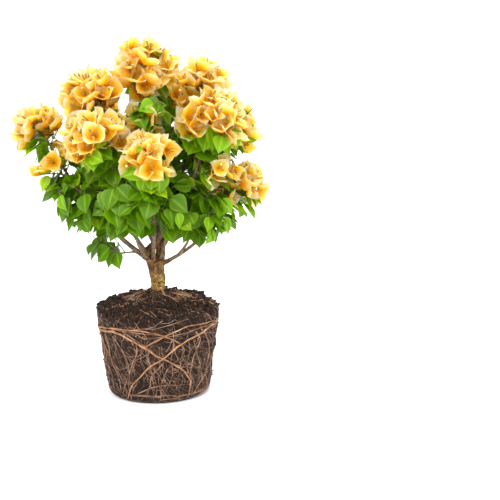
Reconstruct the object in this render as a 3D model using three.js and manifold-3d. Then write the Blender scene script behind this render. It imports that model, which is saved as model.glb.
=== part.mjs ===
// A bougainvillea bush in bloom, lifted out of its nursery pot so that it stands on its own root ball.
// Millimetres, +Z up. The origin is the middle of the root ball's flat underside, and the front faces -Y.
// A short trunk forks into two arms, the boughs leave the trunk, the arms or each other, and each bough
// ends in one mass of twigs, leaves and blossom that keeps to a space of its own.

import * as THREE from "three";
import { mergeVertices } from "three/addons/utils/BufferGeometryUtils.js";
import Module from "manifold-3d";

const wasm = await Module();
wasm.setup();
const vec = (x, y, z) => new THREE.Vector3(x, y, z);
const UP = vec(0, 0, 1);
const radians = THREE.MathUtils.degToRad;
const lerp = THREE.MathUtils.lerp;

// Gap that a limb keeps to the limb that carries it, and the trunk to the compost round its foot.
const JOINT_GAP = 0.3;

// Root ball: the taper of a pot 250 mm across, with a low mound of compost on top.
const FOOT_RADIUS = 102;
const FOOT_ROUND = 9;
const RIM_RADIUS = 123;
const RIM_HEIGHT = 179;
const SHOULDER_ROUND = 9;
const MOUND_TOP = 209;
const MOUND_FALL = 1.2;
const SIDE_RINGS = [0.28, 0.5, 0.74];
const MOUND_RINGS = [0.66, 0.3];
const BALL_SIDES = 26;

// The compost's lumps, as waves round the ball: how many to a turn, the height over which each one moves
// on by a radian, where it starts, and how far it stands in and out.
const LUMPS = [
  { round: 3, rise: 31, start: 0, out: 0.77 },
  { round: 5, rise: -17, start: 1, out: 0.77 },
  { round: 11, rise: 7, start: 0, out: 0.66 },
  { round: 17, rise: -5, start: 2, out: 0.66 },
];

// Circling roots that the pot's wall turned, each from a compass angle and height to another.
// Angles are degrees from the right-hand side, +X, and 270 is the front.
const ROOT_THICK = 2.0;
const ROOT_TAPER = 0.45;
const ROOT_BOW = 28;
const ROOT_PROUD = 0.4;
const ROOT_STEPS = 8;
const ROOT_SIDES = 4;
const CIRCLING_ROOTS = [
  { from: [198, 141], to: [309, 32] },
  { from: [340, 151], to: [236, 27] },
];

// Trunk and the two arms of its fork: foot, bend, tip, and the radius at the foot and at the tip.
const TRUNK = { foot: [2, 0, 181], via: [0, 0, 228], tip: [-5, 0, 266], thick: [12.6, 17] };
const ARMS = {
  arm_left: { foot: [-4, 0, 246], via: [-12, -2, 268], tip: [-17, -4, 288], thick: [12.5, 8.5] },
  arm_right: { foot: [-1, 1, 246], via: [5, 6, 274], tip: [7, 10, 302], thick: [12, 8] },
};
const TRUNK_SIDES = 10;

// Surface roots that leave the trunk's foot and run down into the mound. Heights are from the mound's top.
const FLARE_ROOTS = 3;
const FLARE_TURN = 0.9;
const FLARE_REACH = 36;
const FLARE_START = 5;
const FLARE_END = -9;
const FLARE_SAG = 2.5;
const FLARE_SIDES = 5;
const FLARE_THICK = [6.5, 2.2];

// Each bough and the mass of twigs at its end.
//   at, size   the middle and the radius of the mass
//   bloom      the share of its twigs that end in blossom
//   from       the limb that carries the bough, and how far along it the bough leaves
//   via        the point half way along the bough, left out where the bough runs nearly straight
//   thick      the bough's radius at its foot and at its tip
const SPRAYS = {
  heart: {
    at: [-10, -35, 548], size: 71, bloom: 0.15,
    from: ["arm_left", 1], via: [21, -10, 375], thick: [7.4, 2.6],
  },
  top: {
    at: [-21, 0, 632], size: 84, bloom: 1,
    from: ["arm_right", 1], via: [8, 26, 455], thick: [7, 2.5],
  },
  upper_right: {
    at: [88, -25, 600], size: 77, bloom: 1,
    from: ["bough_top", 0.26], via: [62, 2, 470], thick: [4, 2.1],
  },
  upper_left: {
    at: [-111, -25, 581], size: 79, bloom: 1,
    from: ["bough_heart", 0.1], via: [-68, -8, 440], thick: [4.6, 2.2],
  },
  far_left: {
    at: [-220, 5, 521], size: 68, bloom: 0.8,
    from: ["trunk", 0.9], via: [-110, -15, 358], thick: [5.4, 2.1],
  },
  far_right: {
    at: [163, 0, 405], size: 72, bloom: 0.7,
    from: ["trunk", 0.84], via: [76, -15, 304], thick: [4.2, 2],
  },
  left_front: {
    at: [-104, -105, 508], size: 71, bloom: 1,
    from: ["arm_left", 0.5], via: [-66, -60, 372], thick: [4.6, 2.1],
  },
  centre_front: {
    at: [-10, -150, 474], size: 65, bloom: 1,
    from: ["arm_left", 0.3], via: [-6, -74, 350], thick: [4.4, 2.1],
  },
  right_front: {
    at: [106, -85, 540], size: 82, bloom: 1,
    from: ["arm_right", 0.72], via: [58, -40, 400], thick: [4.8, 2.2],
  },
  middle_skirt: {
    at: [-44, -92, 388], size: 76, bloom: 0,
    from: ["trunk", 0.8], via: [-34, -42, 300], thick: [3.8, 2],
  },
  left_low: {
    at: [-189, -22, 456], size: 60, bloom: 0.6,
    from: ["bough_far_left", 0.52], thick: [2.9, 1.9],
  },
  left_skirt: {
    at: [-134, -40, 391], size: 70, bloom: 0,
    from: ["bough_far_left", 0.34], thick: [3.2, 1.9],
  },
  low_left: {
    at: [-90, -10, 294], size: 56, bloom: 0,
    from: ["bough_far_left", 0.14], thick: [2.9, 1.9],
  },
  right_low: {
    at: [110, -70, 456], size: 64, bloom: 0.7,
    from: ["bough_far_right", 0.5], thick: [2.8, 1.9],
  },
  inner_right: {
    at: [50, -66, 436], size: 57, bloom: 0,
    from: ["bough_right_front", 0.2], thick: [2.9, 1.9],
  },
  low_centre: {
    at: [28, -106, 372], size: 58, bloom: 0,
    from: ["arm_right", 0.3], via: [18, -56, 322], thick: [2.9, 1.9],
  },
  right_skirt: {
    at: [84, -50, 364], size: 71, bloom: 0,
    from: ["bough_far_right", 0.26], thick: [2.9, 1.9],
  },
  right_end: {
    at: [160, 20, 530], size: 64, bloom: 1,
    from: ["bough_upper_right", 0.3], thick: [2.9, 1.9],
  },
  back_centre: {
    at: [-5, 160, 480], size: 78, bloom: 1,
    from: ["arm_right", 0.66], via: [-2, 88, 362], thick: [6, 2.4],
  },
  back_top: {
    at: [25, 105, 592], size: 78, bloom: 1,
    from: ["bough_back_centre", 0.3], via: [14, 82, 470], thick: [4, 2.1],
  },
  back_left: {
    at: [-125, 92, 530], size: 82, bloom: 0.9,
    from: ["bough_back_centre", 0.2], via: [-66, 62, 410], thick: [4.2, 2.1],
  },
  back_right: {
    at: [120, 95, 530], size: 80, bloom: 0.9,
    from: ["bough_back_centre", 0.24], via: [66, 70, 410], thick: [4.2, 2.1],
  },
  back_low_left: {
    at: [-115, 88, 400], size: 75, bloom: 0.2,
    from: ["bough_back_left", 0.3], thick: [3, 1.9],
  },
  back_low_right: {
    at: [112, 84, 402], size: 73, bloom: 0.2,
    from: ["bough_back_right", 0.3], thick: [3, 1.9],
  },
  back_skirt: {
    at: [-4, 112, 366], size: 68, bloom: 0,
    from: ["bough_back_centre", 0.1], via: [2, 50, 312], thick: [3.4, 1.9],
  },
};
const CROWN_MIDDLE = vec(-30, 0, 400);
const BOUGH_STEP = 40;
const BOUGH_SIDES = 5;
const BOUGH_BOW = 0.16;

// Room for growing: how far a mass reaches past its radius, and what it keeps clear of.
const REACH = 0.98;
const CELL_MARGIN = 0.7;
const LIMB_MARGIN = 1.3;
const BEADS_PER_LIMB = 90;
const ENTRY_SHARE = 0.72;
const NEAREST_ENTRY = 0.25;
const ENTRY_DEPTH = 4;
const ENTRY_STEP = 2;

// Which way a mass faces: outwards from the crown's middle and upwards, more upwards where it blooms.
const FACE_OF_BLOOM = [0.7, 0.8];
const FACE_OF_LEAVES = [0.9, 0.25];

// The stem of a mass: how far past the middle it ends, how it bends in, its steps and its end.
const STEM_REACH = 0.22;
const STEM_BEND = 0.6;
const STEM_STEPS = 2;
const STEM_SIDES = 5;
const STEM_TIP = 1.9;

// Twigs: how many to a mass, where and how they leave its stem, how long and how thick they are.
const TWIG_SPACING = 12.8;
const TWIG_TRIES = 10;
const TWIGS_ALONG = [0.28, 0.97];
const TWIG_SPREAD = [80, 30];
const GOLDEN_ANGLE = radians(137.5);
const FACE_PULL = 0.12;
const TWIG_REACH = 0.7;
const REACH_VARIES = [0.85, 1.15];
const TWIG_SIDES = 3;
const TWIG_THICK = [1.5, 1.2];
const CLEAR_FROM = 0.2;
const TIP_SHARE = 0.95;

// Leaves: ovate blades folded a little along the midrib, set along the outer part of each twig.
// A leaf's heading is pulled sideways from the twig, out of the crown, along the twig and down.
const LEAVES_ON_TWIG = 2;
const LEAVES_ALONG = [0.25, 0.88];
const LEAF_LENGTH = [52, 66];
const LEAF_WIDTH = 0.78;
const LEAF_FOLD = 0.1;
const LEAF_PULL = { sideways: 0.8, out: [-0.1, 0.7], along: 0.25, down: [0.6, 1.3] };
const LEAF_FACE = [0.75, 0.8];
const LEAF_ROLL = 0.6;
const HANG_IN_BLOOM = 0.7;

// Blossom: three papery bracts round each flower, opening like a cup towards the mass's face.
const BRACT_LENGTH = [40, 47];
const BRACT_WIDTH = 0.8;
const BRACT_FOLD = 0.06;
const CUP_OPENING = [44, 62];
const BLOSSOM_PULL = { along: 0.5, face: 0.7 };

// Blades are sunk in their twig by the foot, and are thickest in the middle.
const BLADE_KEEL = 1.8;
const KEEL_AT = 0.4;
const WIDEST_AT = 0.38;
const BLADE_TRIES = 36;
const SMALLEST_SHARE = 0.62;
const FINEST_EDGE = 0.1;

const COLOURS = {
  soil: { color: 0x33241b, roughness: 0.95 },
  bark: { color: 0x8a6a48, roughness: 0.85 },
  leaf: { color: 0x5c9c1c, roughness: 0.5 },
  blossom: { color: 0xf6b64c, roughness: 0.6 },
};

// Linear congruential numbers from 0 to 1: the same seed always grows the same plant.
function seeded(seed) {
  let state = seed >>> 0;
  const draw = () => {
    state = (Math.imul(state, 1664525) + 1013904223) >>> 0;
    return state / 4294967296;
  };
  draw();
  draw();
  return draw;
}

// The curve from foot to tip that passes through via half way along.
function bentCurve(foot, via, tip) {
  const bend = via.clone().multiplyScalar(2).addScaledVector(foot, -0.5).addScaledVector(tip, -0.5);
  return new THREE.QuadraticBezierCurve3(foot, bend, tip);
}

function solidFrom(positions, faces) {
  const geometry = new THREE.BufferGeometry();
  geometry.setAttribute("position", new THREE.Float32BufferAttribute(positions, 3));
  geometry.setIndex(faces);
  return solidOf(geometry);
}

// A closed three.js geometry as a solid that can be joined and cut.
function solidOf(geometry) {
  geometry.deleteAttribute("normal");
  geometry.deleteAttribute("uv");
  const merged = mergeVertices(geometry, 1e-3);
  const mesh = new wasm.Mesh({
    numProp: 3,
    vertProperties: new Float32Array(merged.attributes.position.array),
    triVerts: new Uint32Array(merged.index.array),
  });
  return new wasm.Manifold(mesh);
}

function largestPart(solid) {
  return solid.decompose().reduce((most, part) => (part.volume() > most.volume() ? part : most));
}

// A closed tapering tube along a curve. radiusAt takes the share of the way along, from 0 to 1.
function tube(curve, steps, sides, radiusAt) {
  const frames = curve.computeFrenetFrames(steps, false);
  const positions = [];
  const faces = [];
  for (let i = 0; i <= steps; i++) {
    const middle = curve.getPoint(i / steps);
    for (let j = 0; j < sides; j++) {
      const angle = (2 * Math.PI * j) / sides;
      const radius = radiusAt(i / steps, angle);
      const rim = middle
        .clone()
        .addScaledVector(frames.normals[i], Math.cos(angle) * radius)
        .addScaledVector(frames.binormals[i], Math.sin(angle) * radius);
      positions.push(rim.x, rim.y, rim.z);
    }
  }
  for (let i = 0; i < steps; i++) {
    for (let j = 0; j < sides; j++) {
      const a = i * sides + j;
      const b = i * sides + ((j + 1) % sides);
      faces.push(a, b, b + sides, a, b + sides, a + sides);
    }
  }
  const last = steps * sides;
  for (let j = 1; j < sides - 1; j++) {
    faces.push(0, j + 1, j, last, last + j, last + j + 1);
  }
  return solidFrom(positions, faces);
}

function limbTube(limb, sides, spare = 0) {
  const steps = Math.max(2, Math.round(limb.curve.getLength() / BOUGH_STEP));
  return tube(limb.curve, steps, sides, (share) => lerp(limb.thick[0], limb.thick[1], share) + spare);
}

// Root ball

// How far the lumps bring the surface in or out at an angle and a height.
function lump(angle, height) {
  return LUMPS.reduce((sum, { round, rise, start, out }) => {
    return sum + out * Math.sin(round * angle + height / rise + start);
  }, 0);
}

function ballRadius(height) {
  return lerp(FOOT_RADIUS, RIM_RADIUS, height / RIM_HEIGHT);
}

function ballBody() {
  const quarter = [0, 0.5, 1].map((share) => (share * Math.PI) / 2);
  const foot = quarter.map((turn) => [
    FOOT_RADIUS - FOOT_ROUND * (1 - Math.sin(turn)),
    FOOT_ROUND * (1 - Math.cos(turn)),
  ]);
  const side = SIDE_RINGS.map((share) => [ballRadius(share * RIM_HEIGHT), share * RIM_HEIGHT]);
  const shoulder = quarter.map((turn) => [
    RIM_RADIUS - SHOULDER_ROUND * (1 - Math.cos(turn)),
    RIM_HEIGHT - SHOULDER_ROUND * (1 - Math.sin(turn)),
  ]);
  const mound = MOUND_RINGS.map((share) => [
    share * RIM_RADIUS,
    lerp(MOUND_TOP, RIM_HEIGHT, share ** MOUND_FALL),
  ]);
  const profile = [[0, 0], ...foot, ...side, ...shoulder, ...mound, [0, MOUND_TOP]];
  const lathe = new THREE.LatheGeometry(
    profile.map(([radius, height]) => new THREE.Vector2(radius, height)),
    BALL_SIDES,
  );
  lathe.rotateX(Math.PI / 2);
  const place = lathe.attributes.position;
  for (let i = 0; i < place.count; i++) {
    const [x, y, z] = [place.getX(i), place.getY(i), place.getZ(i)];
    const radius = Math.hypot(x, y);
    if (z < 0.01 || radius < 1) continue;
    const outwards = lump(Math.atan2(y, x), z);
    place.setXY(i, x + (x / radius) * outwards, y + (y / radius) * outwards);
    if (z > RIM_HEIGHT - 1) place.setZ(i, z + lump(Math.atan2(y, x) + 1, radius));
  }
  return solidOf(lathe);
}

// A root that lies half sunk in the ball's side, bowed a little off the straight way round it.
function circlingRoot({ from, to }) {
  const points = [];
  for (let i = 0; i <= ROOT_STEPS; i++) {
    const share = i / ROOT_STEPS;
    const angle = radians(lerp(from[0], to[0], share));
    const height = lerp(from[1], to[1], share) + ROOT_BOW * Math.sin(share * Math.PI);
    const radius = ballRadius(height) + lump(angle, height) + ROOT_PROUD;
    points.push(vec(radius * Math.cos(angle), radius * Math.sin(angle), height));
  }
  const curve = new THREE.CatmullRomCurve3(points);
  return tube(curve, ROOT_STEPS, ROOT_SIDES, (share) => ROOT_THICK * (1 - ROOT_TAPER * share));
}

// Trunk, arms and boughs

const limbs = {};

function addLimb(name, foot, via, tip, thick) {
  limbs[name] = { name, curve: bentCurve(foot, via, tip), thick };
}

addLimb("trunk", vec(...TRUNK.foot), vec(...TRUNK.via), vec(...TRUNK.tip), TRUNK.thick);
for (const [name, arm] of Object.entries(ARMS)) {
  addLimb(name, vec(...arm.foot), vec(...arm.via), vec(...arm.tip), arm.thick);
}

function flareRoot(index) {
  const angle = (2 * Math.PI * index) / FLARE_ROOTS + FLARE_TURN;
  const away = vec(Math.cos(angle), Math.sin(angle), 0);
  const start = vec(TRUNK.foot[0], TRUNK.foot[1], MOUND_TOP + FLARE_START);
  const end = start.clone().addScaledVector(away, FLARE_REACH);
  end.z = MOUND_TOP + FLARE_END;
  const via = start.clone().lerp(end, 0.5).addScaledVector(UP, -FLARE_SAG);
  return { curve: bentCurve(start, via, end), thick: FLARE_THICK };
}

function trunkSolid(spare) {
  const pieces = [limbTube(limbs.trunk, TRUNK_SIDES, spare)];
  for (const name of Object.keys(ARMS)) pieces.push(limbTube(limbs[name], TRUNK_SIDES - 2, spare));
  for (let i = 0; i < FLARE_ROOTS; i++) pieces.push(limbTube(flareRoot(i), FLARE_SIDES, spare));
  return wasm.Manifold.union(pieces);
}

// Spaces of the masses

// How deep a point lies inside a mass's own space, which ends half way to each neighbour, weighed by size.
function depthInCell(name, point) {
  const own = SPRAYS[name];
  const power = (spray) => point.distanceToSquared(vec(...spray.at)) - spray.size ** 2;
  let depth = own.size * REACH - point.distanceTo(vec(...own.at));
  for (const [other, spray] of Object.entries(SPRAYS)) {
    if (other === name) continue;
    const between = vec(...own.at).distanceTo(vec(...spray.at));
    depth = Math.min(depth, (power(spray) - power(own)) / (2 * between));
  }
  return depth;
}

// Where a bough's tip enters its mass: back from the middle towards where the bough comes from.
function entryOf(name, cameFrom) {
  const { at, size } = SPRAYS[name];
  const back = cameFrom.clone().sub(vec(...at)).normalize();
  const placeAt = (reach) => vec(...at).addScaledVector(back, reach);
  let reach = size * ENTRY_SHARE;
  while (reach > NEAREST_ENTRY * size && depthInCell(name, placeAt(reach)) < ENTRY_DEPTH) {
    reach -= ENTRY_STEP;
  }
  return placeAt(reach);
}

for (const [name, spray] of Object.entries(SPRAYS)) {
  const parent = limbs[spray.from[0]];
  const foot = parent.curve.getPoint(spray.from[1]);
  const along = parent.curve.getTangent(spray.from[1]);
  let via = spray.via && vec(...spray.via);
  const tip = entryOf(name, via ?? foot);
  via ??= foot.clone().lerp(tip, 0.5).addScaledVector(along, BOUGH_BOW * foot.distanceTo(tip));
  addLimb(`bough_${name}`, foot, via, tip, spray.thick);
}

// Beads along every limb: nothing that grows comes near one.
const beads = [];
for (const limb of Object.values(limbs)) {
  for (let i = 0; i <= BEADS_PER_LIMB; i++) {
    const share = i / BEADS_PER_LIMB;
    beads.push({ point: limb.curve.getPoint(share), radius: lerp(...limb.thick, share) });
  }
}

// Growing a mass

const closest = vec(0, 0, 0);
const ray = new THREE.Ray();

// Whether triangles, each three points, stay in a mass's space and off every limb.
function fits(name, triangles, spare) {
  for (const corners of triangles) {
    if (corners.some((corner) => depthInCell(name, corner) < CELL_MARGIN + spare)) return false;
    const triangle = new THREE.Triangle(...corners);
    for (const bead of beads) {
      triangle.closestPointToPoint(bead.point, closest);
      if (closest.distanceTo(bead.point) < bead.radius + LIMB_MARGIN + spare) return false;
    }
  }
  return true;
}

// Whether an edge of one triangle runs through the other.
function pierces(corners, target) {
  return corners.some((start, i) => {
    const reach = corners[(i + 1) % 3].clone().sub(start);
    ray.set(start, reach.clone().normalize());
    return ray.intersectTriangle(...target, false, closest) && closest.distanceTo(start) < reach.length();
  });
}

function crossing(triangles, others) {
  return triangles.some((one) => others.some((other) => pierces(one, other) || pierces(other, one)));
}

// The middle line of a tube made in straight steps: its points, and a place and a direction along it.
function middleLine(curve, steps) {
  const points = Array.from({ length: steps + 1 }, (_, i) => curve.getPoint(i / steps));
  const step = (share) => Math.min(steps - 1, Math.floor(share * steps));
  const stepAt = (share) => [points[step(share)].clone(), points[step(share) + 1].clone()];
  return {
    placeAt: (share) => {
      const [start, end] = stepAt(share);
      return start.lerp(end, share * steps - step(share));
    },
    headingAt: (share) => {
      const [start, end] = stepAt(share);
      return end.sub(start).normalize();
    },
    // Flat triangles, so that the line can be tested like a blade.
    slivers: points.slice(1).map((point, i) => [points[i], point, point]),
  };
}

// A blade's corners: its foot, its two widest points and its tip.
function bladeCorners({ root, along, face, length, width, fold }) {
  const side = along.clone().cross(face);
  const waist = root.clone().addScaledVector(along, WIDEST_AT * length).addScaledVector(face, fold * width);
  return {
    left: waist.clone().addScaledVector(side, -width / 2),
    right: waist.clone().addScaledVector(side, width / 2),
    tip: root.clone().addScaledVector(along, length),
  };
}

function bladeTriangles(blade) {
  const { left, right, tip } = bladeCorners(blade);
  return [
    [blade.root, left, tip],
    [blade.root, tip, right],
  ];
}

// Six faces: two above that meet along the midrib, and four below round a low keel.
function bladeSolid(blade) {
  const { left, right, tip } = bladeCorners(blade);
  const keel = blade.root.clone().lerp(tip, KEEL_AT).addScaledVector(blade.face, -BLADE_KEEL);
  const faces = [0, 3, 1, 0, 2, 3, 0, 1, 4, 1, 3, 4, 3, 2, 4, 2, 0, 4];
  return solidFrom([blade.root, left, right, tip, keel].flatMap((corner) => corner.toArray()), faces);
}

// A direction at right angles to along, turned round it from the upward side.
function sideways(along, angle) {
  const first = UP.clone().addScaledVector(along, -UP.dot(along));
  if (first.lengthSq() < 0.01) first.set(1, 0, 0).addScaledVector(along, -along.x);
  return first.normalize().applyAxisAngle(along, angle);
}

function outwardsFrom(point) {
  return vec(point.x - CROWN_MIDDLE.x, point.y - CROWN_MIDDLE.y, 0).normalize();
}

// One leaf on a twig: it leaves sideways and outwards, and hangs by its own weight.
function leafAt(root, along, angle, hang, scale, random) {
  const { sideways: aside, out: outPull, along: onwards, down } = LEAF_PULL;
  const out = outwardsFrom(root);
  const heading = sideways(along, angle).multiplyScalar(aside);
  heading.addScaledVector(out, lerp(...outPull, random()));
  heading.addScaledVector(along, onwards).addScaledVector(UP, -hang * lerp(...down, random())).normalize();
  const face = out.clone().multiplyScalar(LEAF_FACE[0]).addScaledVector(UP, LEAF_FACE[1]);
  face.applyAxisAngle(heading, lerp(-LEAF_ROLL, LEAF_ROLL, random()));
  face.addScaledVector(heading, -face.dot(heading)).normalize();
  const length = lerp(...LEAF_LENGTH, random()) * scale;
  return { root, along: heading, face, length, width: LEAF_WIDTH * length, fold: LEAF_FOLD };
}

// The three bracts of one flower: a cup that opens along axis.
function bractsAt(root, axis, scale, random) {
  const opening = radians(lerp(...CUP_OPENING, random()));
  const turn = random() * 2 * Math.PI;
  const length = lerp(...BRACT_LENGTH, random()) * scale;
  return [0, 1, 2].map((i) => {
    const side = sideways(axis, turn + (i * 2 * Math.PI) / 3);
    const along = axis.clone().multiplyScalar(Math.cos(opening)).addScaledVector(side, Math.sin(opening));
    const face = axis.clone().multiplyScalar(Math.sin(opening)).addScaledVector(side, -Math.cos(opening));
    return { root, along, face, length, width: BRACT_WIDTH * length, fold: BRACT_FOLD };
  });
}

// Grows one mass: a stem from the bough's tip, twigs that spiral round it, leaves on them and blossom at
// their tips.
function growMass(name, index) {
  const { at, size, bloom } = SPRAYS[name];
  const middle = vec(...at);
  const bough = limbs[`bough_${name}`];
  const onwards = bough.curve.getTangent(1);
  const start = bough.curve.getPoint(1).addScaledVector(onwards, JOINT_GAP);
  const [outPull, upPull] = bloom > 0 ? FACE_OF_BLOOM : FACE_OF_LEAVES;
  const face = outwardsFrom(middle).multiplyScalar(outPull).addScaledVector(UP, upPull).normalize();
  const end = middle.clone().addScaledVector(face, STEM_REACH * size);
  const bend = start.clone().addScaledVector(onwards, STEM_BEND * start.distanceTo(middle));
  const stem = new THREE.QuadraticBezierCurve3(start, bend, end);
  const pieces = [tube(stem, STEM_STEPS, STEM_SIDES, (share) => lerp(bough.thick[1], STEM_TIP, share))];
  const stemLine = middleLine(stem, STEM_STEPS);
  const grown = [...stemLine.slivers];

  const addBlades = (blades) => {
    const triangles = blades.flatMap(bladeTriangles);
    if (!fits(name, triangles, BLADE_KEEL / 2) || crossing(triangles, grown)) return false;
    for (const blade of blades) pieces.push(bladeSolid(blade));
    grown.push(...triangles);
    return true;
  };

  const twigs = Math.round(size / TWIG_SPACING);
  for (let k = 0; k < twigs; k++) {
    const random = seeded(index * 1000 + k * 10 + 9);
    const share = lerp(...TWIGS_ALONG, k / (twigs - 1));
    const foot = stemLine.placeAt(share);
    const onward = stemLine.headingAt(share);
    const spread = radians(lerp(...TWIG_SPREAD, share));
    const turn = random();
    const reach = TWIG_REACH * size * lerp(...REACH_VARIES, random());
    for (let attempt = 0; attempt < TWIG_TRIES; attempt++) {
      const angle = (k + attempt) * GOLDEN_ANGLE + turn;
      const heading = sideways(onward, angle).multiplyScalar(Math.sin(spread));
      heading.addScaledVector(onward, Math.cos(spread)).addScaledVector(face, FACE_PULL).normalize();
      const tip = foot.clone().addScaledVector(heading, reach);
      const twig = new THREE.LineCurve3(foot, tip);
      const line = middleLine(twig, 1);
      const clear = [[line.placeAt(CLEAR_FROM), tip, tip]];
      if (!fits(name, clear, TWIG_THICK[0]) || crossing(clear, grown)) continue;
      pieces.push(tube(twig, 1, TWIG_SIDES, (u) => lerp(...TWIG_THICK, u)));
      clotheTwig(line, { face, bloom, random }, addBlades);
      grown.push(...line.slivers);
      break;
    }
  }
  return largestPart(wasm.Manifold.union(pieces)).simplify(FINEST_EDGE);
}

// A flower or a leaf at the tip of a twig, and leaves along it, each where the first free place is found.
function clotheTwig(line, { face, bloom, random }, addBlades) {
  const hang = bloom > 0 ? HANG_IN_BLOOM : 1;
  const tip = line.placeAt(TIP_SHARE);
  const heading = line.headingAt(1);
  const flower = random() < bloom;
  for (let attempt = 0; attempt < BLADE_TRIES; attempt++) {
    const effort = attempt / BLADE_TRIES;
    const bearing = heading.clone().multiplyScalar(BLOSSOM_PULL.along);
    bearing.addScaledVector(face, BLOSSOM_PULL.face);
    bearing.addScaledVector(sideways(heading, random() * 2 * Math.PI), effort).normalize();
    const scale = lerp(1, SMALLEST_SHARE, effort);
    const blades = flower
      ? bractsAt(tip, bearing, scale, random)
      : [leafAt(tip, heading, attempt * GOLDEN_ANGLE, hang, scale, random)];
    if (addBlades(blades)) break;
  }
  for (let j = 0; j < LEAVES_ON_TWIG; j++) {
    for (let attempt = 0; attempt < BLADE_TRIES; attempt++) {
      const scale = lerp(1, SMALLEST_SHARE, attempt / BLADE_TRIES);
      const share = lerp(...LEAVES_ALONG, (j + random()) / LEAVES_ON_TWIG);
      const angle = Math.PI * (j + 0.5) + attempt * GOLDEN_ANGLE;
      const leaf = leafAt(line.placeAt(share), line.headingAt(share), angle, hang, scale, random);
      if (addBlades([leaf])) break;
    }
  }
}

// Putting the plant together

function meshOf(solid, name, look) {
  const { numProp, numVert, vertProperties, triVerts } = solid.getMesh();
  const positions = new Float32Array(numVert * 3);
  for (let i = 0; i < numVert; i++) {
    positions.set(vertProperties.subarray(i * numProp, i * numProp + 3), i * 3);
  }
  const geometry = new THREE.BufferGeometry();
  geometry.setAttribute("position", new THREE.BufferAttribute(positions, 3));
  geometry.setIndex(new THREE.BufferAttribute(triVerts, 1));
  geometry.computeVertexNormals();
  const mesh = new THREE.Mesh(geometry, new THREE.MeshStandardMaterial({ ...look, metalness: 0 }));
  mesh.name = name;
  return mesh;
}

const bush = new THREE.Group();
bush.name = "bougainvillea_bush";

const trunkRoom = trunkSolid(JOINT_GAP);
const ball = wasm.Manifold.union([ballBody(), ...CIRCLING_ROOTS.map(circlingRoot)]).subtract(trunkRoom);
bush.add(meshOf(ball, "root_ball", COLOURS.soil));
bush.add(meshOf(trunkSolid(0), "trunk", COLOURS.bark));

// Each bough is cut back where it would meet a limb that was there before it.
let room = trunkRoom;
Object.keys(SPRAYS).forEach((name, index) => {
  const limb = limbs[`bough_${name}`];
  const bough = largestPart(limbTube(limb, BOUGH_SIDES).subtract(room));
  room = room.add(limbTube(limb, BOUGH_SIDES, JOINT_GAP));
  bush.add(meshOf(bough, limb.name, COLOURS.bark));
  const look = SPRAYS[name].bloom > 0.5 ? COLOURS.blossom : COLOURS.leaf;
  bush.add(meshOf(growMass(name, index), `foliage_${name}`, look));
});

export default bush;
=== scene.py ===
import math

import bpy
import numpy as np
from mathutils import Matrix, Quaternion, Vector


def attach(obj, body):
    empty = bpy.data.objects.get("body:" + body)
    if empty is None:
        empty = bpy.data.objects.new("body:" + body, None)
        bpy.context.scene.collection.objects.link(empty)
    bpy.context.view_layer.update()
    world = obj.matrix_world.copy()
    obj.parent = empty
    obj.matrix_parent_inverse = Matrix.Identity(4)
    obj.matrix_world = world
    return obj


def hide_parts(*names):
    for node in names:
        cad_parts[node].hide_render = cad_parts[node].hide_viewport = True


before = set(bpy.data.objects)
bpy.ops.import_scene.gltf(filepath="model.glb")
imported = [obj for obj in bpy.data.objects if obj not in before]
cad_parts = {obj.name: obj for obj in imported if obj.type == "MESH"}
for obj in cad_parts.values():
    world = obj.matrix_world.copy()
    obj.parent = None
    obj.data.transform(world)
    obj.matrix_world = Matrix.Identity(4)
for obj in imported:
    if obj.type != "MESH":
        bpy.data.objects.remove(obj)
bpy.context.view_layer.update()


# The studio: a white cove that runs up behind the bush, with large soft lights in front of it and above.
# The camera stands a little above the middle of the bush and looks slightly down on the root ball.
COVE_DEPTH = 3.0
COVE_WIDTH = 9.0
COVE_HEIGHT = 4.0
COVE_CURVE = 1.2
COVE_WHITE = (0.9, 0.91, 0.92, 1)
AIR_LIGHT = 0.95
CAMERA_PLACE = (0.0, -1.65, 0.56)
CAMERA_PITCH = math.radians(9.409)
CAMERA_YAW = math.radians(6.495)
CAMERA_LENS = 59.4
CAMERA_SENSOR = 36.0
LIGHTS = {
    "key": {"place": (-1.4, -2.2, 2.4), "size": 1.3, "power": 92},
    "fill": {"place": (2.2, -2.0, 1.4), "size": 2.0, "power": 44},
    "top": {"place": (0.1, 0.5, 2.8), "size": 2.4, "power": 52},
    "rim": {"place": (0.9, 2.2, 1.6), "size": 1.4, "power": 34},
}
BUSH_MIDDLE = Vector((-0.03, 0.0, 0.4))


def deselect():
    bpy.ops.object.select_all(action="DESELECT")


def node_in(tree, kind, inputs=None, **settings):
    """Adds a node. An input is given as a number, a colour or the socket that feeds it."""
    made = tree.nodes.new(kind)
    for name, value in settings.items():
        setattr(made, name, value)
    for name, value in (inputs or {}).items():
        if isinstance(value, bpy.types.NodeSocket):
            tree.links.new(value, made.inputs[name])
        else:
            made.inputs[name].default_value = value
    return made


def ramp_of(tree, factor, stops):
    """A colour ramp through stops of (place, colour)."""
    ramp = node_in(tree, "ShaderNodeValToRGB", {"Fac": factor})
    while len(ramp.color_ramp.elements) < len(stops):
        ramp.color_ramp.elements.new(0.5)
    for element, (place, colour) in zip(ramp.color_ramp.elements, stops):
        element.position = place
        element.color = (*colour, 1)
    return ramp.outputs["Color"]


def noise_of(tree, scale, detail, roughness=0.5, place=None):
    """A fine-grained pattern, on the piece's own coordinates or on those given."""
    if place is None:
        place = node_in(tree, "ShaderNodeTexCoord").outputs["Object"]
    return node_in(tree, "ShaderNodeTexNoise", {
        "Vector": place, "Scale": scale, "Detail": detail, "Roughness": roughness,
    }).outputs["Fac"]


def multiplied(tree, first, second):
    """One colour times another."""
    return node_in(tree, "ShaderNodeMix", {"A": first, "B": second, "Factor": 1.0},
                   data_type="RGBA", blend_type="MULTIPLY").outputs["Result"]


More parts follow.
